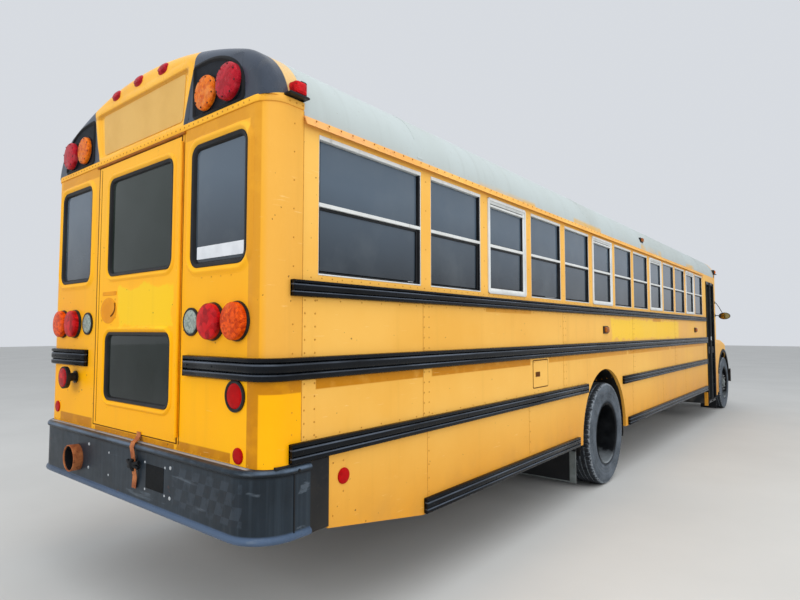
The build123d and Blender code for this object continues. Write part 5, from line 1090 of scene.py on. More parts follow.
# Stub lamp left of the door, reflectors and side markers
stalk = Form().add(*turned([(0, 0.0005), (0, 0.040), (0.008, 0.040), (0.010, 0.028), (0.046, 0.026), (0.050, 0.055),
                            (0.056, 0.071), (0.078, 0.072), (0.082, 0.066), (0.070, 0.060), (0.070, 0.0005)],
                           (0.780, REAR_Y, 1.300), "Y", 40))
stalk.piece("stub_lamp_housing", black_rubber, slot="black_trim")
domed_lens("stub_lamp_lens", 0.780, 1.300, 0.062, 0.070, 0.088, rear_plane, tail_red, "lens_red")
dark_ring("big_reflector_rim", -1.000, 1.304, 0.0745, rear_plane, width=0.015, proud=0.009)
domed_lens("big_reflector", -1.000, 1.304, 0.0600, 0.0, 0.012, rear_plane, reflector_red, "lens_red")
domed_lens("low_reflector_right", -1.027, 1.034, 0.0375, 0.0, 0.008, rear_plane, reflector_red, "lens_red")
domed_lens("low_reflector_left", 1.062, 1.083, 0.0375, 0.0, 0.008, rear_plane, reflector_red, "lens_red")
for side, hand in SIDES:
    plane = side_plane(side)
    domed_lens("skirt_reflector_" + hand, 0.487, 0.880, 0.040, 0.0, 0.008, plane, reflector_red, "lens_red")
    for station, name in ((4.420, "rear"), (8.940, "front")):
        foot = rounded(station - 0.070, station + 0.070, 1.572, 1.652, 0.012, 4)
        base = Form().add(*plate(foot, 0.0, 0.014, plane, 0.004))
        base.piece(f"side_marker_base_{name}_{hand}", black_rubber, slot="black_trim")
        dome = layers(rounded(station - 0.052, station + 0.052, 1.582, 1.642, 0.014, 5),
                      [(1, 0.010), (0.98, 0.026), (0.85, 0.032), (0.5, 0.035), (0.05, 0.036)], plane, (station, 1.612))
        Form().add(*dome).piece(f"side_marker_{name}_{hand}", marker_amber, slot="lens_amber")


# Glass surrounds pressed into the sheet, with black rubber
def gasket(form, box, radius, plane, reach=0.008, lap=0.024, proud=0.006, deep=-0.016):
    """Rubber that laps the sheet's edge and the glass."""
    section = [(reach, -0.001), (reach, proud * 0.6), (reach * 0.4, proud), (-lap * 0.5, proud * 0.3), (-lap, deep),
               (-lap, deep - 0.004), (0.0, deep - 0.004)]
    form.add(*ring(rounded(*box, radius, 7), section, plane))


def swage(form, box, radius, plane, start=0.009, width=0.046, height=0.014):
    """Broad soft ridge pressed round an opening: a raised cosine across its width."""
    t = np.linspace(0, 1, 9)
    rise = height * (0.5 - 0.5 * np.cos(FULL_TURN * (t * 0.86 + 0.14)))
    crest = np.column_stack([start + width * t, rise])
    form.add(*ring(rounded(*box, radius, 7), [(start, -0.001), *crest, (start + width, -0.001)], plane))


rear_rubbers, rear_swages, door_rubbers, door_swages = Form(), Form(), Form(), Form()
for side in (-1, 1):
    box = (*sorted((side * 0.600, side * 1.060)), 1.930, 2.550)
    gasket(rear_rubbers, box, 0.055, rear_plane)
    swage(rear_swages, box, 0.060, rear_plane)
for box in ((-0.405, 0.335, 1.944, 2.537), (-0.405, 0.345, 1.192, 1.589)):
    gasket(door_rubbers, box, 0.050, rear_plane, lap=0.018, proud=0.008)
    swage(door_swages, box, 0.055, rear_plane, width=0.040)
rear_rubbers.piece("rear_window_rubbers", black_rubber, slot="black_trim")
rear_swages.piece("rear_window_swages", yellow, slot="body_paint")
door_rubbers.piece("rear_door_rubbers", black_rubber, "rear_door", "black_trim")
door_swages.piece("rear_door_swages", yellow, "rear_door", "body_paint")
strip = Form().add(*plate(rounded(-1.036, -0.634, 1.966, 2.030, 0.004, 2), -0.0135, -0.0105, rear_plane))
strip.piece("bare_window_strip", strip_white, slot="white_frame")

# Rear door: shadowed gap, header strip, hinge leaf, dished handle place with its handle gone
gaps, header, hinge, dish, marks, screws = Form(), Form(), Form(), Form(), Form(), Form()
# Dark brown fillers in the door's gaps: painted shade in the gaps.
for x0, x1, z0, z1 in ((-0.4960, -0.4885, 1.021, 2.642), (0.4885, 0.4990, 1.021, 2.642),
                       (-0.494, 0.494, 2.6365, 2.643), (-0.494, 0.494, 1.021, 1.0265)):
    gaps.add(*plate(rounded(x0, x1, z0, z1, 0.001, 1), -0.034, 0.0030, rear_plane))
# Painted shadow: a thin line of the seal's lip beside the door on its hinge side.
gaps.add(*plate(rounded(-0.5170, -0.5130, 1.021, 2.642, 0.001, 1), -0.001, 0.0014, rear_plane))
gaps.piece("rear_door_gap_shade", gap_brown, slot="black_trim")
header.add(*plate(rounded(-0.525, 0.525, 2.6435, 2.658, 0.002, 2), -0.001, 0.010, rear_plane, 0.003))
header.piece("rear_door_drip_strip", seam_ochre, slot="body_paint")
hinge.add(*plate(rounded(-0.486, -0.478, 1.040, 2.620, 0.002, 2), -0.001, 0.006, rear_plane, 0.002))
for z in row(1.10, 2.56, 0.146):
    hinge.add(*plate(rounded(-0.484, -0.462, z - 0.052, z + 0.052, 0.003, 2), -0.001, 0.0045, rear_plane, 0.0015))
heads(hinge, -0.470, row(1.06, 2.60, 0.073), rear_plane, 0.0055, 0.003, base=0.004)
hinge.piece("rear_door_hinge_leaf", yellow, "rear_door", "body_paint")
DISH = (0.322, 1.728)
# The dish and the tab mark above it are coloured as painted shade.
dish.add(*layers(oval(*DISH, 0.108, 0.080, 44),
                 [(1.0, -0.001), (1.0, 0.0006), (0.93, 0.0026), (0.80, 0.0016), (0.45, 0.0010), (0.05, 0.0010)],
                 door_plane, DISH))
dish.add(*plate(rounded(0.220, 0.403, 1.820, 1.844, 0.006, 3), -0.001, 0.0030, door_plane, 0.0015))
dish.piece("rear_door_handle_dish", handle_recess_shade, "rear_door", "body_paint")
# Painted shadow: a dark arc along the dish's right rim.
arc = bend((0.236, 1.772), (0.214, 1.722), (0.285, 1.693), 12)
marks.add(*tube(spots(arc[:, 0], REAR_Y + 0.0045, arc[:, 1]), 0.0050, 8))
# Painted shadow: a thin dark line of the gap seal's lip on the door.
marks.add(*plate(rounded(0.4555, 0.4590, 1.040, 2.625, 0.001, 1), -0.001, 0.0014, door_plane))
marks.piece("rear_door_handle_painted_shadows", gap_brown, "rear_door", "body_paint")
heads(screws, (0.421, 0.235, 0.229, 0.410), (1.787, 1.794, 1.685, 1.668), door_plane, 0.007, 0.003)
screws.piece("rear_door_screws", rivet_vivid, "rear_door", "body_paint")

# Rivets and small screws
side_rivets, rear_rivets, dark_rivets = Form(), Form(), Form()
for side in (-1, 1):
    plane = side_plane(side)
    heads(dark_rivets, row(0.26, 9.66, 0.085), 2.614, plane, 0.0055, 0.002, base=0.0295)
    for start in (0.222, 0.287, 1.173, 1.223, 3.300, 3.350, 5.415, 5.465, 7.530, 7.580):
        for low, high in ((1.110, 1.355), (1.500, 1.750)):
            heads(side_rivets, start, row(low, high, 0.061), plane, 0.0060, 0.0030)
    for s in row(0.30, 9.70, 0.160):
        heads(side_rivets, s, (1.752, 1.100), plane, 0.0045, 0.0022)
    heads(side_rivets, row(0.26, 9.66, 0.0705), 1.861, plane, 0.0042, 0.002)
    heads(side_rivets, 0.150, row(1.50, 2.58, 0.135), plane, 0.0045, 0.0022)
    heads(rear_rivets, 0.150, row(1.13, 1.33, 0.10), plane, 0.0045, 0.0022)
    for number in range(13):
        heads(side_rivets, FIRST_PILLAR + PITCH * number, (1.92, 2.10, 2.34, 2.52), plane, 0.0042, 0.002)
    for s in (1.22, 2.60, 5.37, 6.77, 8.17):
        heads(side_rivets, s, row(0.64, 0.96, 0.08), plane, 0.0048, 0.0024)
    heads(side_rivets, (0.487, 0.487, 0.415, 0.415), (0.955, 0.805, 0.700, 0.955), plane, 0.005, 0.0025)
heads(rear_rivets, row(-1.10, 1.10, 0.075), 1.000, rear_plane, 0.0048, 0.0024)
heads(rear_rivets, (0.906, 0.722, 0.613), (1.205, 1.206, 1.319), rear_plane, 0.007, 0.002)
heads(rear_rivets, (-0.700, -0.785, -0.865, -0.950), 1.870, rear_plane, 0.005, 0.002)
side_rivets.piece("side_rivets", rivet_yellow, slot="body_paint")
rear_rivets.piece("rear_rivets", rivet_vivid, slot="body_paint")
dark_rivets.piece("drip_rail_rivets", seam_ochre, slot="body_paint")

# Panel laps: thin edges where one sheet covers the next, dark behind
laps, lap_gaps = Form(), Form()


def lap_gap(s0, s1, low, high, plane):
    """Hair of shadow between two stations."""
    lap_gaps.add(*plate(rounded(s0, s1, low, high, 0.0005, 1), -0.001, 0.0007, plane))


for side in (-1, 1):
    plane = side_plane(side)
    for s in (0.207, 1.163, 3.290, 5.400, 7.515, 9.630):
        for low, high in ((1.092, 1.374), (1.485, 1.764)):
            lap_gap(s - 0.0018, s + 0.0018, low, high, plane)
            laps.add(*plate(rounded(s + 0.002, s + 0.085, low, high, 0.001, 1), -0.001, 0.0012, plane, 0.0006))
    for s in (1.205, 2.585, 5.35, 6.75, 8.15):
        lap_gap(s - 0.0018, s + 0.0018, 0.612, 0.997, plane)
    lap_gap(0.2052, 0.2084, 1.848, 2.655, plane)
laps.piece("panel_laps", yellow, slot="body_paint")
lap_gaps.piece("panel_gap_lines", rivet_yellow, slot="body_paint")

# Side windows: two sashes each, white rails, black channels and a black painted shadow under each middle rail; exits in
# thicker white frames
SILL, HEAD, MIDDLE = 1.875, 2.568, 2.2215
EXITS = (3, 6, 9, 12)
EXIT_INSET = 0.036
white_bars, black_bars, exit_frames = Form(), Form(), Form()
WINDOW_BARS = (
    # form, inset at the rear, inset at the front, bottom, top, from depth, to depth
    (white_bars, 0.0, 0.0, HEAD - 0.022, HEAD, -0.030, 0.004),
    (white_bars, 0.004, 0.004, MIDDLE - 0.008, MIDDLE + 0.012, -0.026, 0.001),
    (white_bars, 0.0, 0.0, SILL, SILL + 0.008, -0.030, 0.002),
    # black strip just under the middle rail: painted shadow of the rail
    (black_bars, 0.004, 0.004, MIDDLE - 0.022, MIDDLE - 0.008, -0.028, -0.010),
    (black_bars, 0.004, 0.004, SILL + 0.006, SILL + 0.018, -0.030, -0.008),
)
WINDOW_POSTS = (
    # form, distance from the rear (or the front, below nought), width, bottom, top, from depth, to depth
    (white_bars, 0.0, 0.003, SILL, HEAD - 0.020, -0.030, 0.001),
    (white_bars, -0.005, 0.005, SILL, HEAD - 0.020, -0.030, 0.002),
    (black_bars, 0.005, 0.011, SILL, HEAD - 0.022, -0.030, -0.010),
    (black_bars, -0.018, 0.013, SILL, HEAD - 0.022, -0.030, 0.000),
    (black_bars, -0.034, 0.016, SILL, MIDDLE, -0.030, -0.008),
)
EXIT_BARS = (
    # as the window bars
    (exit_frames, 0.030, 0.030, HEAD - 0.062, HEAD - 0.046, -0.020, 0.006),
    (white_bars, EXIT_INSET, EXIT_INSET, MIDDLE - 0.010, MIDDLE + 0.012, -0.020, 0.000),
    # black strip under the middle rail: painted shadow of the rail
    (black_bars, EXIT_INSET, EXIT_INSET, MIDDLE - 0.022, MIDDLE - 0.010, -0.022, -0.008),
)
EXIT_POSTS = ((black_bars, -0.058, 0.018, SILL + 0.040, MIDDLE - 0.010, -0.022, -0.006),)


def window_span(number):
    """Stations of a window's rear and front edge: the first is wider, the others lie one pitch apart."""
    if number == 1:
        return 0.305, FIRST_PILLAR - PILLAR / 2
    start = FIRST_PILLAR + (number - 2) * PITCH
    return start + PILLAR / 2, start + PITCH - PILLAR / 2


def window_bars(bars, posts, s0, s1, plane):
    """Level bars from inset to inset, and upright ones measured from the nearer edge."""
    level = [(form, s0 + rear, s1 - front, *rest) for form, rear, front, *rest in bars]
    upright = [(form, (s1 if start < 0 else s0) + start, (s1 if start < 0 else s0) + start + width, *rest)
               for form, start, width, *rest in posts]
    for form, u0, u1, z0, z1, low, high in level + upright:
        form.add(*plate(rounded(u0, u1, z0, z1, 0.0015, 1), low, high, plane, 0.0015))


for side in (-1, 1):
    plane = side_plane(side)
    for number in range(1, 14):
        s0, s1 = window_span(number)
        if number not in EXITS:
            window_bars(WINDOW_BARS, WINDOW_POSTS, s0, s1, plane)
            continue
        outer = rounded(s0 + 0.001, s1 - 0.001, SILL + 0.001, HEAD - 0.001, 0.018, 5)
        inner = rounded(s0 + EXIT_INSET, s1 - EXIT_INSET, SILL + EXIT_INSET, HEAD - EXIT_INSET, 0.012, 3)
        exit_frames.add(*ring(outer, [(0.004, -0.001), (0.004, 0.008), (-0.004, 0.012), (-0.017, 0.012),
                                      (-0.021, 0.004), (-0.036, -0.002), (-0.036, -0.022), (0.0, -0.022)], plane))
        black_bars.add(*ring(inner, [(0.001, -0.004), (-0.008, -0.006), (-0.008, -0.024), (0.001, -0.024)], plane))
        window_bars(EXIT_BARS, EXIT_POSTS, s0, s1, plane)
white_bars.piece("window_rails_white", white_frame, slot="white_frame", replaces=("window_frames",))
black_bars.piece("window_channels_and_rail_shadows_black", black_rubber, slot="black_trim")
exit_frames.piece("exit_window_frames", white_frame, slot="white_frame")
driver_rubber, screen_rubber = Form(), Form()
gasket(driver_rubber, (9.960, 10.700, SILL, HEAD), 0.030, side_plane(1), deep=-0.018)
driver_rubber.piece("driver_window_rubber", black_rubber, slot="black_trim")
for side in (-1, 1):
    gasket(screen_rubber, (*sorted((side * 0.040, side * 1.080)), 1.680, 2.560), 0.060, front_plane)
screen_rubber.piece("windscreen_rubber", black_rubber, slot="black_trim")

# Small access door on the right side
entrance_side = side_plane(-1)
access = Form().add(*plate(rounded(2.669, 2.945, 1.141, 1.356, 0.012, 4), -0.001, 0.0030, entrance_side, 0.001))
access.piece("access_door_skin", yellow, slot="body_paint")
access_gap = Form().add(*ring(rounded(2.661, 2.953, 1.133, 1.364, 0.015, 4),
                              [(0.0, -0.001), (0.0, 0.001), (-0.008, 0.001), (-0.008, -0.001)], entrance_side))
access_gap.add(*plate(rounded(2.706, 2.788, 1.226, 1.266, 0.004, 3), 0.0025, 0.0065, entrance_side, 0.002))
access_gap.piece("access_door_gap_and_latch", gap_brown, slot="body_paint")

# Roof: lapped sheet joints over the arch, hatch mouldings
joints = Form()
for station in (1.140, 3.940, 6.740, 9.540):
    across = np.concatenate([np.linspace(-1.2185, -0.86, 14), np.linspace(-0.80, 0.80, 17),
                             np.linspace(0.86, 1.2185, 14)])[:, None]
    rise = roof_rise(across)
    slope = np.gradient(rise, across[:, 0], axis=0)
    y_half = np.array([0.030, 0.030, -0.030, -0.030])
    lift = np.array([-0.002, 0.0018, 0.0018, -0.002]) / np.hypot(slope, 1)
    joints.add(spots(across - slope * lift, at(station) + y_half, rise + lift),
               grid_quads(len(across), 4, wrap_columns=True), np.arange(4), np.arange(4)[::-1] + 4 * (len(across) - 1))
joints.piece("roof_sheet_joints", white_roof, slot="roof_paint", sharp=60)
for station, hand in ((8.250, "front"), (3.300, "rear")):
    def lid_plane(u, v, w):
        """u is X, v runs back from the hatch's middle, w stands above its lid."""
        return spots(u, at(station) + v, 3.1780 + w)

    lid, seal = Form(), Form()
    lid.add(*layers(rounded(-0.339, 0.339, -0.339, 0.339, 0.035, 6), [(0, -0.0155), (0, -0.004), (-0.004, 0.0)],
                    lid_plane))
    lid.add(*ring(rounded(-0.30, 0.30, -0.30, 0.30, 0.06, 6),
                  [(0, -0.002), (-0.004, 0.007), (-0.030, 0.009), (-0.036, -0.002)], lid_plane))
    lid.add(*layers(rounded(-0.20, 0.20, -0.20, 0.20, 0.05, 6),
                    [(1, -0.002), (0.98, 0.006), (0.90, 0.010), (0.4, 0.012), (0.05, 0.012)], lid_plane, (0, 0)))
    lid.piece(f"hatch_moulded_lid_{hand}", white_roof, "hatch_" + hand, "roof_paint", ("hatch_lid_" + hand,))
    seal.add(*ring(rounded(-0.334, 0.334, -0.334, 0.334, 0.02, 4),
                   [(0, -0.0145), (0, -0.011), (-0.012, -0.011), (-0.012, -0.0145)], lid_plane))
    seal.piece(f"hatch_seal_{hand}", black_rubber, "hatch_" + hand, "black_trim")


# Tyres: ridged sidewalls and lug tread; rims with hand holes, studs and hub
def tyre(form, centre_x, station, side, lugs=72):
    """Tyre turned about its axle. Every lug is three steps up and one down: the radius of the tread's outer points
    drops by the groove's depth on the down steps."""
    crown, bead = 0.525, 0.305
    wall = [(0.100, bead), (0.122, bead + 0.004), (0.129, bead + 0.014), (0.134, bead + 0.026),
            (0.1310, bead + 0.032), (0.136, bead + 0.040), (0.138, bead + 0.062), (0.1350, bead + 0.067),
            (0.1355, bead + 0.072), (0.139, bead + 0.098), (0.137, bead + 0.102), (0.140, bead + 0.107),
            (0.138, bead + 0.136), (0.135, bead + 0.150), (0.1375, bead + 0.156), (0.134, bead + 0.171),
            (0.130, crown - 0.030), (0.128, crown - 0.018), (0.122, crown - 0.010), (0.110, crown - 0.003)]
    ribs = [(0.104, 0), (0.080, 0), (0.074, 1), (0.066, 1), (0.060, 0), (0.030, 0), (0.024, 1), (0.016, 1), (0.010, 0)]
    outer = wall + [(x, crown - 0.012 * grooved) for x, grooved in ribs]
    x, r = np.array(outer + [(-a, b) for a, b in outer[::-1]]).T
    steps = lugs * 4
    down = (np.arange(steps) % 4 >= 3)[:, None]
    edge = (r > crown - 0.022) & (np.abs(x) > 0.070)
    middle = (r > crown - 0.005) & (np.abs(x) <= 0.070)
    r = r - down * (0.010 * edge + 0.005 * middle)
    angle = (np.arange(steps) * FULL_TURN / steps)[:, None]
    points = spots(side * (centre_x + x), at(station) + r * np.sin(angle), AXLE_Z + r * np.cos(angle))
    form.add(points, grid_quads(steps, len(x), True, True))


def holed_disc(form, side, centre_x, station, section, holes, hole_rings, cells=12, thick=0.010):
    """Dished disc with hand holes: a polar sheet, its copy one wall inwards, cells left out of both for the holes,
    and walls wherever a kept cell meets a hole or the edge."""
    x, r = np.array(section, float).T
    steps, size = holes * cells, len(r)
    angle = (np.arange(steps) * FULL_TURN / steps)[:, None]
    sheets = [spots(side * (centre_x + x - inwards), at(station) + r * np.sin(angle), AXLE_Z + r * np.cos(angle))
              .reshape(-1, 3) for inwards in (0, thick)]
    i, j = np.arange(steps)[:, None], np.arange(size - 1)[None, :]
    end_ring = (j == hole_rings[0]) | (j == hole_rings[1] - 1)
    k = i % cells
    hole = (j >= hole_rings[0]) & (j < hole_rings[1]) & (k >= 3 + end_ring) & (k < 9 - end_ring)
    kept = ~hole
    near, far = i * size + j, (i + 1) % steps * size + j
    back = steps * size
    faces = [np.stack([near, far, far + 1, near + 1], axis=-1)[kept],
             np.stack([near, near + 1, far + 1, far], axis=-1)[kept] + back]
    beyond = np.pad(hole, ((0, 0), (1, 1)), constant_values=True)
    for open_side, p, q in ((np.roll(hole, 1, axis=0), near, near + 1), (np.roll(hole, -1, axis=0), far, far + 1),
                            (beyond[:, :-2], near, far), (beyond[:, 2:], near + 1, far + 1)):
        faces.append(np.stack([p, q, q + back, p + back], axis=-1)[kept & open_side])
    used, index = np.unique(np.concatenate(faces), return_inverse=True)
    form.add(np.concatenate(sheets)[used], index.reshape(-1, 4))


def turned_on_axle(form, section, centre_x, station, side, steps):
    """Wheel part turned about its axle from (outwards, radius) places."""
    form.add(*turned([(side * (centre_x + x), r) for x, r in section], (0, at(station), AXLE_Z), "X", steps))


def rim_barrel(form, centre_x, station, side):
    """Rolled rim with its flanges, under one tyre."""
    section = [(-0.108, 0.314), (-0.100, 0.321), (-0.094, 0.313), (-0.088, 0.301), (-0.050, 0.297),
               (0.050, 0.297), (0.096, 0.301), (0.118, 0.306), (0.126, 0.315), (0.133, 0.310), (0.124, 0.296),
               (0.050, 0.287), (-0.050, 0.287), (-0.100, 0.295)]
    turned_on_axle(form, section, centre_x, station, side, 96)


def wheel_nuts(form, x, station, side, count, circle, radius, height):
    """Nuts in a circle round the hub, each a hexagon on a washer with its stud end."""
    plane = side_plane(side)
    base = x - HALF
    stud = [(1, base + height), (0.95, base + height * 1.4), (0.1, base + height * 1.5)]
    for k in range(count):
        a = FULL_TURN * (k + 0.5) / count
        u, v = station + circle * math.sin(a), AXLE_Z + circle * math.cos(a)
        hex_bolt(form, u, v, plane, radius, height, base)
        form.add(*layers(oval(u, v, radius * 0.5, steps=10), stud, plane, (u, v)))


TYRE_X, INNER_TYRE_X = 1.075, 0.740
DUAL_PLANE, FRONT_PLANE = 0.9075, 1.171  # outer faces of the wheel discs
STUD_CIRCLE = 0.142
HAND_HOLES = 8, (3, 6)  # how many, and the rings of the disc that they cross
for side, hand in SIDES:
    body = "rear_wheels_" + hand
    tread, rim, hub, nuts = Form(), Form(), Form(), Form()
    for centre in (TYRE_X, INNER_TYRE_X):
        tyre(tread, centre, REAR_AXLE, side)
        rim_barrel(rim, centre, REAR_AXLE, side)
    dish = [(0.004, 0.100), (0.004, 0.168), (0.008, 0.190), (0.020, 0.206), (0.040, 0.222), (0.066, 0.242),
            (0.084, 0.260), (0.094, 0.276), (0.096, 0.289)]
    holed_disc(rim, side, DUAL_PLANE, REAR_AXLE, dish, *HAND_HOLES)
    section = [(-0.150, 0.075), (-0.150, 0.108), (0.020, 0.108), (0.060, 0.104), (0.066, 0.084), (0.128, 0.078),
               (0.140, 0.070), (0.144, 0.050), (0.146, 0.001), (-0.140, 0.001)]
    turned_on_axle(hub, section, DUAL_PLANE, REAR_AXLE, side, 48)
    wheel_nuts(nuts, DUAL_PLANE + 0.004, REAR_AXLE, side, 10, STUD_CIRCLE, 0.017, 0.030)
    wheel_nuts(nuts, DUAL_PLANE + 0.144, REAR_AXLE, side, 8, 0.056, 0.007, 0.008)
    tread.piece("rear_tyres_" + hand, tyre_finish, body, "tyre_rubber", ("tyres_rear_" + hand,))
    rim.piece("rear_rims_" + hand, rim_finish, body, "rim_paint", ("rims_rear_" + hand,))
    hub.piece("rear_hub_" + hand, rim_finish, body, "rim_paint")
    nuts.piece("rear_wheel_nuts_" + hand, axle_finish, body, "rim_paint")

    body = "front_wheel_" + hand
    tread, rim, hub, nuts = Form(), Form(), Form(), Form()
    tyre(tread, TYRE_X, FRONT_AXLE, side)
    rim_barrel(rim, TYRE_X, FRONT_AXLE, side)
    dish = [(0.000, 0.100), (0.000, 0.168), (-0.002, 0.190), (-0.008, 0.206), (-0.014, 0.220), (-0.020, 0.238),
            (-0.024, 0.256), (-0.026, 0.274), (-0.026, 0.289)]
    holed_disc(rim, side, FRONT_PLANE, FRONT_AXLE, dish, *HAND_HOLES)
    section = [(-0.130, 0.075), (-0.130, 0.108), (-0.004, 0.108), (0.002, 0.086), (0.022, 0.080), (0.030, 0.068),
               (0.033, 0.050), (0.034, 0.001), (-0.120, 0.001)]
    turned_on_axle(hub, section, FRONT_PLANE + 0.004, FRONT_AXLE, side, 48)
    wheel_nuts(nuts, FRONT_PLANE + 0.001, FRONT_AXLE, side, 10, STUD_CIRCLE, 0.015, 0.024)
    tread.piece("front_tyre_" + hand, tyre_finish, body, "tyre_rubber", ("tyre_front_" + hand,))
    rim.piece("front_rim_" + hand, rim_finish, body, "rim_paint", ("rim_front_" + hand,))
    hub.piece("front_hub_" + hand, iron_grey, body, "rim_paint")
    nuts.piece("front_wheel_nuts_" + hand, bare_steel, body, "rim_paint")

# Liners behind the rear wheel arches, the arches' curved foot in the skirts, and on the fender arches a black lip with
# a black sheet inside as painted shade of the wheel well
def arch_band(form, side, centre, x_span, r_span, low):
    """Band round a wheel arch: a rectangle of x and radius spans carried over the sweep from low past the top."""
    steps = 41
    sweep = np.linspace(math.radians(low), math.radians(180 - low), steps)[:, None]
    across, away = np.array(x_span)[[0, 1, 1, 0]], np.array(r_span)[[0, 0, 1, 1]]
    points = spots(side * across, at(centre[0]) + away * np.cos(sweep), centre[1] + away * np.sin(sweep))
    ends = np.arange(4), np.arange(4)[::-1] + 4 * (steps - 1)
    form.add(points, grid_quads(steps, 4, wrap_columns=True), *ends)


SKIRT_TOP = 0.990
arch_liners, arch_feet, flap_irons = Form(), Form(), Form()
for side, hand in SIDES:
    arch_band(arch_liners, side, (ARCH_STATION, ARCH_Z), (HALF - 0.031, 0.680),
              (ARCH_RADIUS + 0.002, ARCH_RADIUS + 0.006), -12)
    turn = np.linspace(0, math.asin((SKIRT_TOP - ARCH_Z) / ARCH_RADIUS), 13)
    for ahead in (-1, 1):
        foot = np.column_stack([ARCH_STATION + ahead * ARCH_RADIUS * np.cos(turn), ARCH_Z + ARCH_RADIUS * np.sin(turn)])
        foot = np.concatenate([foot, [(ARCH_STATION + ahead * (ARCH_RADIUS + 0.001), SKIRT_TOP)]])
        arch_feet.add(*plate(np.column_stack([foot, foot * 0]), -0.030, 0.0, side_plane(side)))
    lips = Form()
    # Outer band: black lip round the front arch. Inner band: black sheet under the fender, painted shade of the wheel
    # well.
    arch_band(lips, side, (FRONT_AXLE, AXLE_Z), (1.1985, 1.2030), (0.632, 0.695), 20)
    arch_band(lips, side, (FRONT_AXLE, AXLE_Z), (0.960, 1.1980), (0.684, 0.690), 20)
    lips.piece("fender_arch_lip_and_well_shade_" + hand, liner_black, "bonnet", "black_trim", sharp=60)
    slab(flap_irons, side * 1.120, side * 1.179, 3.637, 3.6465, 0.167, 0.460, 0.001)
    slab(flap_irons, side * 0.600, side * 1.120, 3.639, 3.6465, 0.167, 0.178, 0.001)
arch_liners.piece("wheel_arch_liners", black_steel, slot="chassis_black", sharp=60)
arch_feet.piece("wheel_arch_feet", yellow, slot="body_paint")
flap_irons.piece("mud_flap_irons", iron_grey, slot="chassis_black")

# Seats: vinyl cushions, each crowned over its foam, on steel frames
def cushion(name, corners, crown, edge, cells=12):
    """Crowned cushion from the box between two corners (x, station, z). Its six gridded faces are pulled to an
    inner box by the edge radius, and each face bulges by crown times (1 - u^2)(1 - v^2)."""
    low, high = np.array(corners, float)
    u, v = np.meshgrid(np.linspace(-1, 1, cells + 1), np.linspace(-1, 1, cells + 1), indexing="ij")
    sides, quads = [], []
    for axis in range(3):
        for sign in (-1, 1):
            face = np.empty((*u.shape, 3))
            face[..., axis], face[..., (axis + 1) % 3], face[..., (axis + 2) % 3] = sign, u, v
            quads.append(grid_quads(cells + 1, cells + 1) + len(sides) * u.size)
            sides.append(face.reshape(-1, 3))
    unit, merged = np.unique(np.round(np.concatenate(sides), 6), axis=0, return_inverse=True)
    half, centre = (high - low) / 2, (high + low) / 2
    inner = np.maximum(half - edge - crown, half * 0.2)
    flat = unit * (half - crown)
    core = np.clip(flat, -inner, inner)
    away = flat - core
    length = np.linalg.norm(away, axis=1, keepdims=True)
    shaped = core + away / np.maximum(length, 1e-9) * np.minimum(edge, length)
    squares = 1 - unit ** 2
    for axis in range(3):
        on_face = np.sign(unit[:, axis]) * (np.abs(unit[:, axis]) > 0.999)
        shaped[:, axis] += on_face * crown * squares[:, (axis + 1) % 3] * squares[:, (axis + 2) % 3]
    placed = centre + shaped
    points = spots(placed[:, 0], at(placed[:, 1]), placed[:, 2])
    made = Form().add(points, merged.reshape(-1)[np.concatenate(quads)])
    made.piece(name, vinyl, slot="seat_vinyl", sharp=80)


FIRST_BENCH = 0.420
seat_steel = Form()
for side, hand in SIDES:
    near, far = sorted((side * 0.190, side * 1.150))
    for number in range(12):
        s = FIRST_BENCH + number * PITCH
        cushion(f"bench_back_{hand}_{number + 1}", ((near, s - 0.030, 1.335), (far, s + 0.062, 1.828)), 0.010, 0.030)
        cushion(f"bench_cushion_{hand}_{number + 1}", ((near, s + 0.066, 1.322), (far, s + 0.488, 1.440)), 0.014, 0.035)
        for x in (side * 0.255, side * 0.285):
            seat_steel.add(*tube([(x, at(s + 0.07), 1.328), (x, at(s + 0.10), 1.022)], 0.012, 8))
            seat_steel.add(*tube([(x, at(s + 0.44), 1.328), (x, at(s + 0.40), 1.022)], 0.012, 8))
        slab(seat_steel, side * 0.230, side * 0.310, s + 0.05, s + 0.46, 1.020, 1.026, 0.001)
        slab(seat_steel, side * 0.200, side * 1.145, s + 0.07, s + 0.48, 1.318, 1.326, 0.001)
seat_steel.piece("bench_legs", bare_steel, slot="step_steel", replaces=("seats_right", "seats_left"))
DRIVER_X, DRIVER_S = 0.620, BODY_FRONT - 1.135
left, right = DRIVER_X - 0.24, DRIVER_X + 0.24
cushion("driver_cushion", ((left, DRIVER_S + 0.015, 1.385), (right, DRIVER_S + 0.46, 1.500)), 0.016, 0.040)
cushion("driver_backrest", ((left, DRIVER_S - 0.10, 1.390), (right, DRIVER_S + 0.008, 2.050)), 0.016, 0.040)
pedestal = Form().add(*turned([(0.0, 0.13), (0.012, 0.13), (0.020, 0.07), (0.33, 0.06), (0.345, 0.15), (0.364, 0.16),
                               (0.364, 0.001), (0.0, 0.001)], (DRIVER_X, at(DRIVER_S + 0.2), 1.020), "Z", 32))
pedestal.piece("driver_pedestal", black_steel, slot="chassis_black", replaces=("driver_seat",))

# Cross-view mirrors on curved arms: convex glass towards the driver, black shell ahead
MIRROR_Z, BRACE_Z = 1.895, 2.150
MIRROR_FOOT = BODY_FRONT - 0.150
head_y, foot_y = at(BODY_FRONT + 0.265), at(MIRROR_FOOT)


def towards_driver(u, v, w):
    """u is X, v is height, w stands behind the mirror's edge, towards the driver."""
    return spots(u, head_y + w, v)


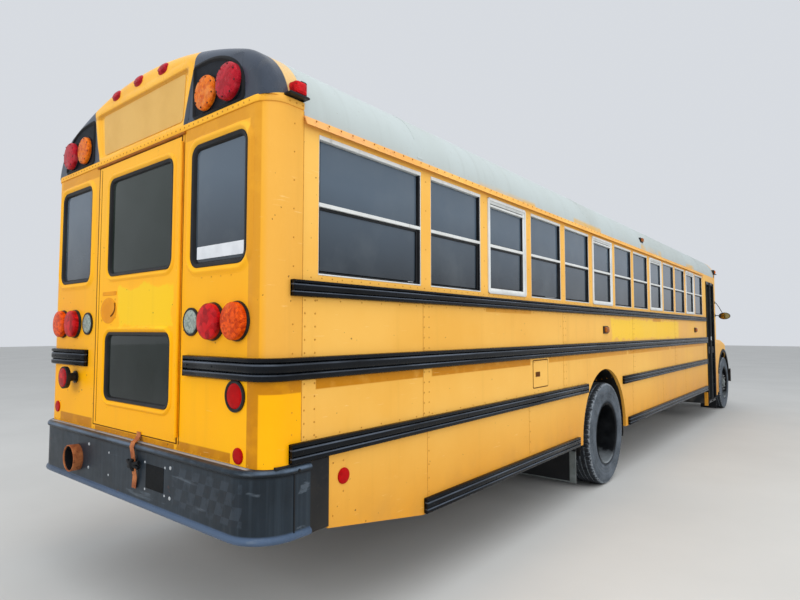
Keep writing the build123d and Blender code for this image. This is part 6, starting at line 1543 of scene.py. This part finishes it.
for side, hand in SIDES:
    across = (side, 1, 1)
    arms = Form().add(*tube(np.array([(1.215, foot_y, MIRROR_Z), (1.245, foot_y, MIRROR_Z),
                                      (1.258, foot_y - 0.02, MIRROR_Z), (1.262, head_y + 0.08, MIRROR_Z),
                                      (1.272, head_y + 0.02, MIRROR_Z), (1.300, head_y - 0.012, MIRROR_Z)]) * across,
                            0.008, 10))
    arms.add(*tube(np.array([(1.215, foot_y, BRACE_Z), (1.240, foot_y - 0.02, 2.140), (1.262, head_y + 0.20, 2.060),
                             (1.290, head_y + 0.010, 1.945)]) * across, 0.006, 10))
    for z in (MIRROR_Z, BRACE_Z):
        arms.add(*plate(oval(MIRROR_FOOT, z, 0.026, steps=20), 0.0, 0.008, side_plane(side), 0.002))
    arms.piece("mirror_arms_" + hand, black_steel, slot="mirror_shell")
    centre = (side * 1.320, MIRROR_Z)
    outline = oval(*centre, 0.104, 0.069, 44)
    shell = Form().add(*layers(outline, [(0.5, -0.030), (0.80, -0.024), (0.95, -0.012), (1.0, 0.0), (0.98, 0.006)],
                               towards_driver, centre))
    rim = Form().add(*ring(outline, [(0.0, -0.004), (0.0, 0.010), (-0.007, 0.012), (-0.010, 0.004)], towards_driver))
    glass = Form().add(*layers(outline, [(0.93, 0.002), (0.91, 0.010), (0.75, 0.018), (0.45, 0.025), (0.05, 0.028)],
                               towards_driver, centre))
    shell.piece("mirror_shell_" + hand, mirror_shell, slot="mirror_shell")
    rim.piece("mirror_rim_" + hand, black_rubber, slot="mirror_shell")
    glass.piece("mirror_glass_" + hand, mirror_silver, slot="mirror_shell")
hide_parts("mirrors")

# Entrance: rubber edges on the leaves, a small bare plate, and a yellow post behind the foot
for leaf, s0, s1 in (("entrance_leaf_rear", 9.940, 10.296), ("entrance_leaf_front", 10.304, 10.660)):
    edges = Form()
    for start in (s0, s1 - 0.012):
        slab(edges, -(HALF + 0.016), -(HALF - 0.030), start, start + 0.012, 0.285, 2.500)
    edges.piece(leaf + "_edges", black_rubber, leaf, "black_trim")
    glazing = Form().add(*ring(rounded(s0 + 0.052, s1 - 0.052, 0.318, 2.462, 0.03, 5),
                               [(0.006, 0.0155), (0.004, 0.0185), (-0.006, 0.014), (-0.008, -0.020), (0.0, -0.020)],
                               entrance_side))
    glazing.piece(leaf + "_glazing", black_rubber, leaf, "black_trim")
tile = Form().add(*plate(rounded(10.245, 10.290, 1.420, 1.490, 0.004, 2), 0.0150, 0.0185, entrance_side, 0.001))
tile.piece("entrance_pale_plate", strip_white, "entrance_leaf_rear", "white_frame")
foot = Form()
slab(foot, -(HALF - 0.060), -(HALF - 0.004), 9.905, 9.935, 0.235, 0.475, 0.004)
foot.piece("entrance_foot_post", yellow, slot="body_paint")

# Bonnet: headlamps and turn signals
HEADLAMP_X, HEADLAMP_Z = 0.760, 1.050


def fender_plane(u, v, w):
    """u is X, v is height, w stands ahead of the fenders' front."""
    return spots(u, at(FENDER_FACE) - w, v)


for side, hand in SIDES:
    x = side * HEADLAMP_X
    bezel = Form().add(*ring(oval(x, HEADLAMP_Z, 0.112, steps=56),
                             [(0, -0.004), (0, 0.014), (-0.008, 0.022), (-0.020, 0.020), (-0.024, 0.006),
                              (-0.024, -0.004)], fender_plane))
    bezel.piece("headlamp_bezel_" + hand, chrome, "bonnet", "black_trim")
    domed_lens("headlamp_glass_" + hand, x, HEADLAMP_Z, 0.089, 0.001, 0.034, fender_plane, clear_lens, "lens_clear",
               "bonnet")
    signal = Form().add(*layers(rounded(*sorted((side * 0.884, side * 0.950)), 0.992, 1.108, 0.014, 4),
                                [(1, -0.002), (1, 0.012), (0.9, 0.019), (0.4, 0.022), (0.05, 0.022)], fender_plane,
                                (side * 0.917, HEADLAMP_Z)))
    signal.piece("turn_signal_" + hand, warning_amber, "bonnet", "lens_amber")
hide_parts("headlamps")

# Windscreen wipers parked along the foot of each screen
for side, hand in SIDES:
    arm = Form()
    arm.add(*turned([(0.0, 0.020), (-0.030, 0.018), (-0.034, 0.012), (-0.034, 0.001), (0.0, 0.001)],
                    (side * 0.980, at(BODY_FRONT), 1.646), "Y", 20))
    for bar, radius in ((((0.980, 1.646, 0.028), (0.800, 1.700, 0.034), (0.560, 1.752, 0.030)), 0.006),
                        (((0.840, 1.760, 0.014), (0.560, 1.756, 0.018), (0.260, 1.740, 0.014)), 0.008)):
        arm.add(*tube(front_plane(*(np.array(bar) * (side, 1, 1)).T), radius, 8))
    arm.piece("wiper_" + hand, black_rubber, slot="black_trim")

# Stop arm: blank octagon with a pale border and two flashing lamps
STOP_STATION, STOP_Z, STOP_FACE = 9.701, 1.622, 1.285


def arm_plane(u, v, w):
    """u is the station, v is height, w stands proud of the folded arm's outer face."""
    return spots(STOP_FACE + w, at(u), v)


angle = FULL_TURN * (np.arange(8) + 0.5)[:, None] / 8
reach = 0.222 * np.array([0.985, 0.985, 0.915, 0.915])
points = arm_plane(STOP_STATION + reach * np.cos(angle), STOP_Z + reach * np.sin(angle),
                   np.array([-0.0005, 0.0012, 0.0012, -0.0005]))
border = Form().add(points, grid_quads(8, 4, True, True))
border.piece("stop_arm_border", white_frame, "stop_arm", "white_frame")
for z, name in ((STOP_Z + 0.138, "upper"), (STOP_Z - 0.138, "lower")):
    dark_ring(f"stop_arm_{name}_rim", STOP_STATION, z, 0.050, arm_plane, "stop_arm", 0.006, 0.008)
    domed_lens(f"stop_arm_{name}_lens", STOP_STATION, z, 0.044, 0.0, 0.018, arm_plane, tail_red, "lens_red", "stop_arm")


# Floor, soft light and pale surroundings
def floor_finish():
    """Pale matt studio floor with the faintest clouding."""
    g = Finish("pale_studio_floor", "#C9C9C6", 0.85)
    g.shade("Base Color", g.add("Mix", blotch(g, 0.6, 0.3, 0.7, detail=4), "#C6C6C3", "#CDCDCA"))
    return g.material


FLOOR_REACH = 60
FLOOR_Z = -0.001
floor_mesh = bpy.data.meshes.new("studio_floor")
floor_mesh.from_pydata([(x * FLOOR_REACH, y * FLOOR_REACH, FLOOR_Z) for x, y in ((-1, -1), (1, -1), (1, 1), (-1, 1))],
                       [], [(0, 1, 2, 3)])
floor_mesh.materials.append(floor_finish())
floor = bpy.data.objects.new("studio_floor", floor_mesh)
bpy.context.scene.collection.objects.link(floor)

world = bpy.data.worlds.new("studio")
bpy.context.scene.world = world
world.use_nodes = True
sky = world.node_tree.nodes["Background"]
sky.inputs["Color"].default_value = (*linear("#E4E8EE"), 1)
sky.inputs["Strength"].default_value = 0.88


def soft_lamp(name, place, aim, size, power):
    """Rectangular soft light at a place, turned towards its aim. Windows don't mirror its shape."""
    data = bpy.data.lights.new(name, "AREA")
    data.shape = "RECTANGLE"
    data.size, data.size_y = size
    data.energy = power
    lamp = bpy.data.objects.new(name, data)
    lamp.location = place
    lamp.visible_glossy = False
    lamp.rotation_mode = "QUATERNION"
    lamp.rotation_quaternion = (Vector(aim) - Vector(place)).to_track_quat("-Z", "Y")
    bpy.context.scene.collection.objects.link(lamp)


soft_lamp("overhead_softbox", (-5, 6, 12), (0, 1, 1.5), (10, 14), 900)
soft_lamp("rear_softbox", (1, 17, 6), (0, 6, 1.5), (9, 5), 480)
soft_lamp("side_softbox", (-14, 0, 6), (0, -1, 1.5), (14, 6), 530)
bpy.context.scene.view_settings.view_transform = "Standard"
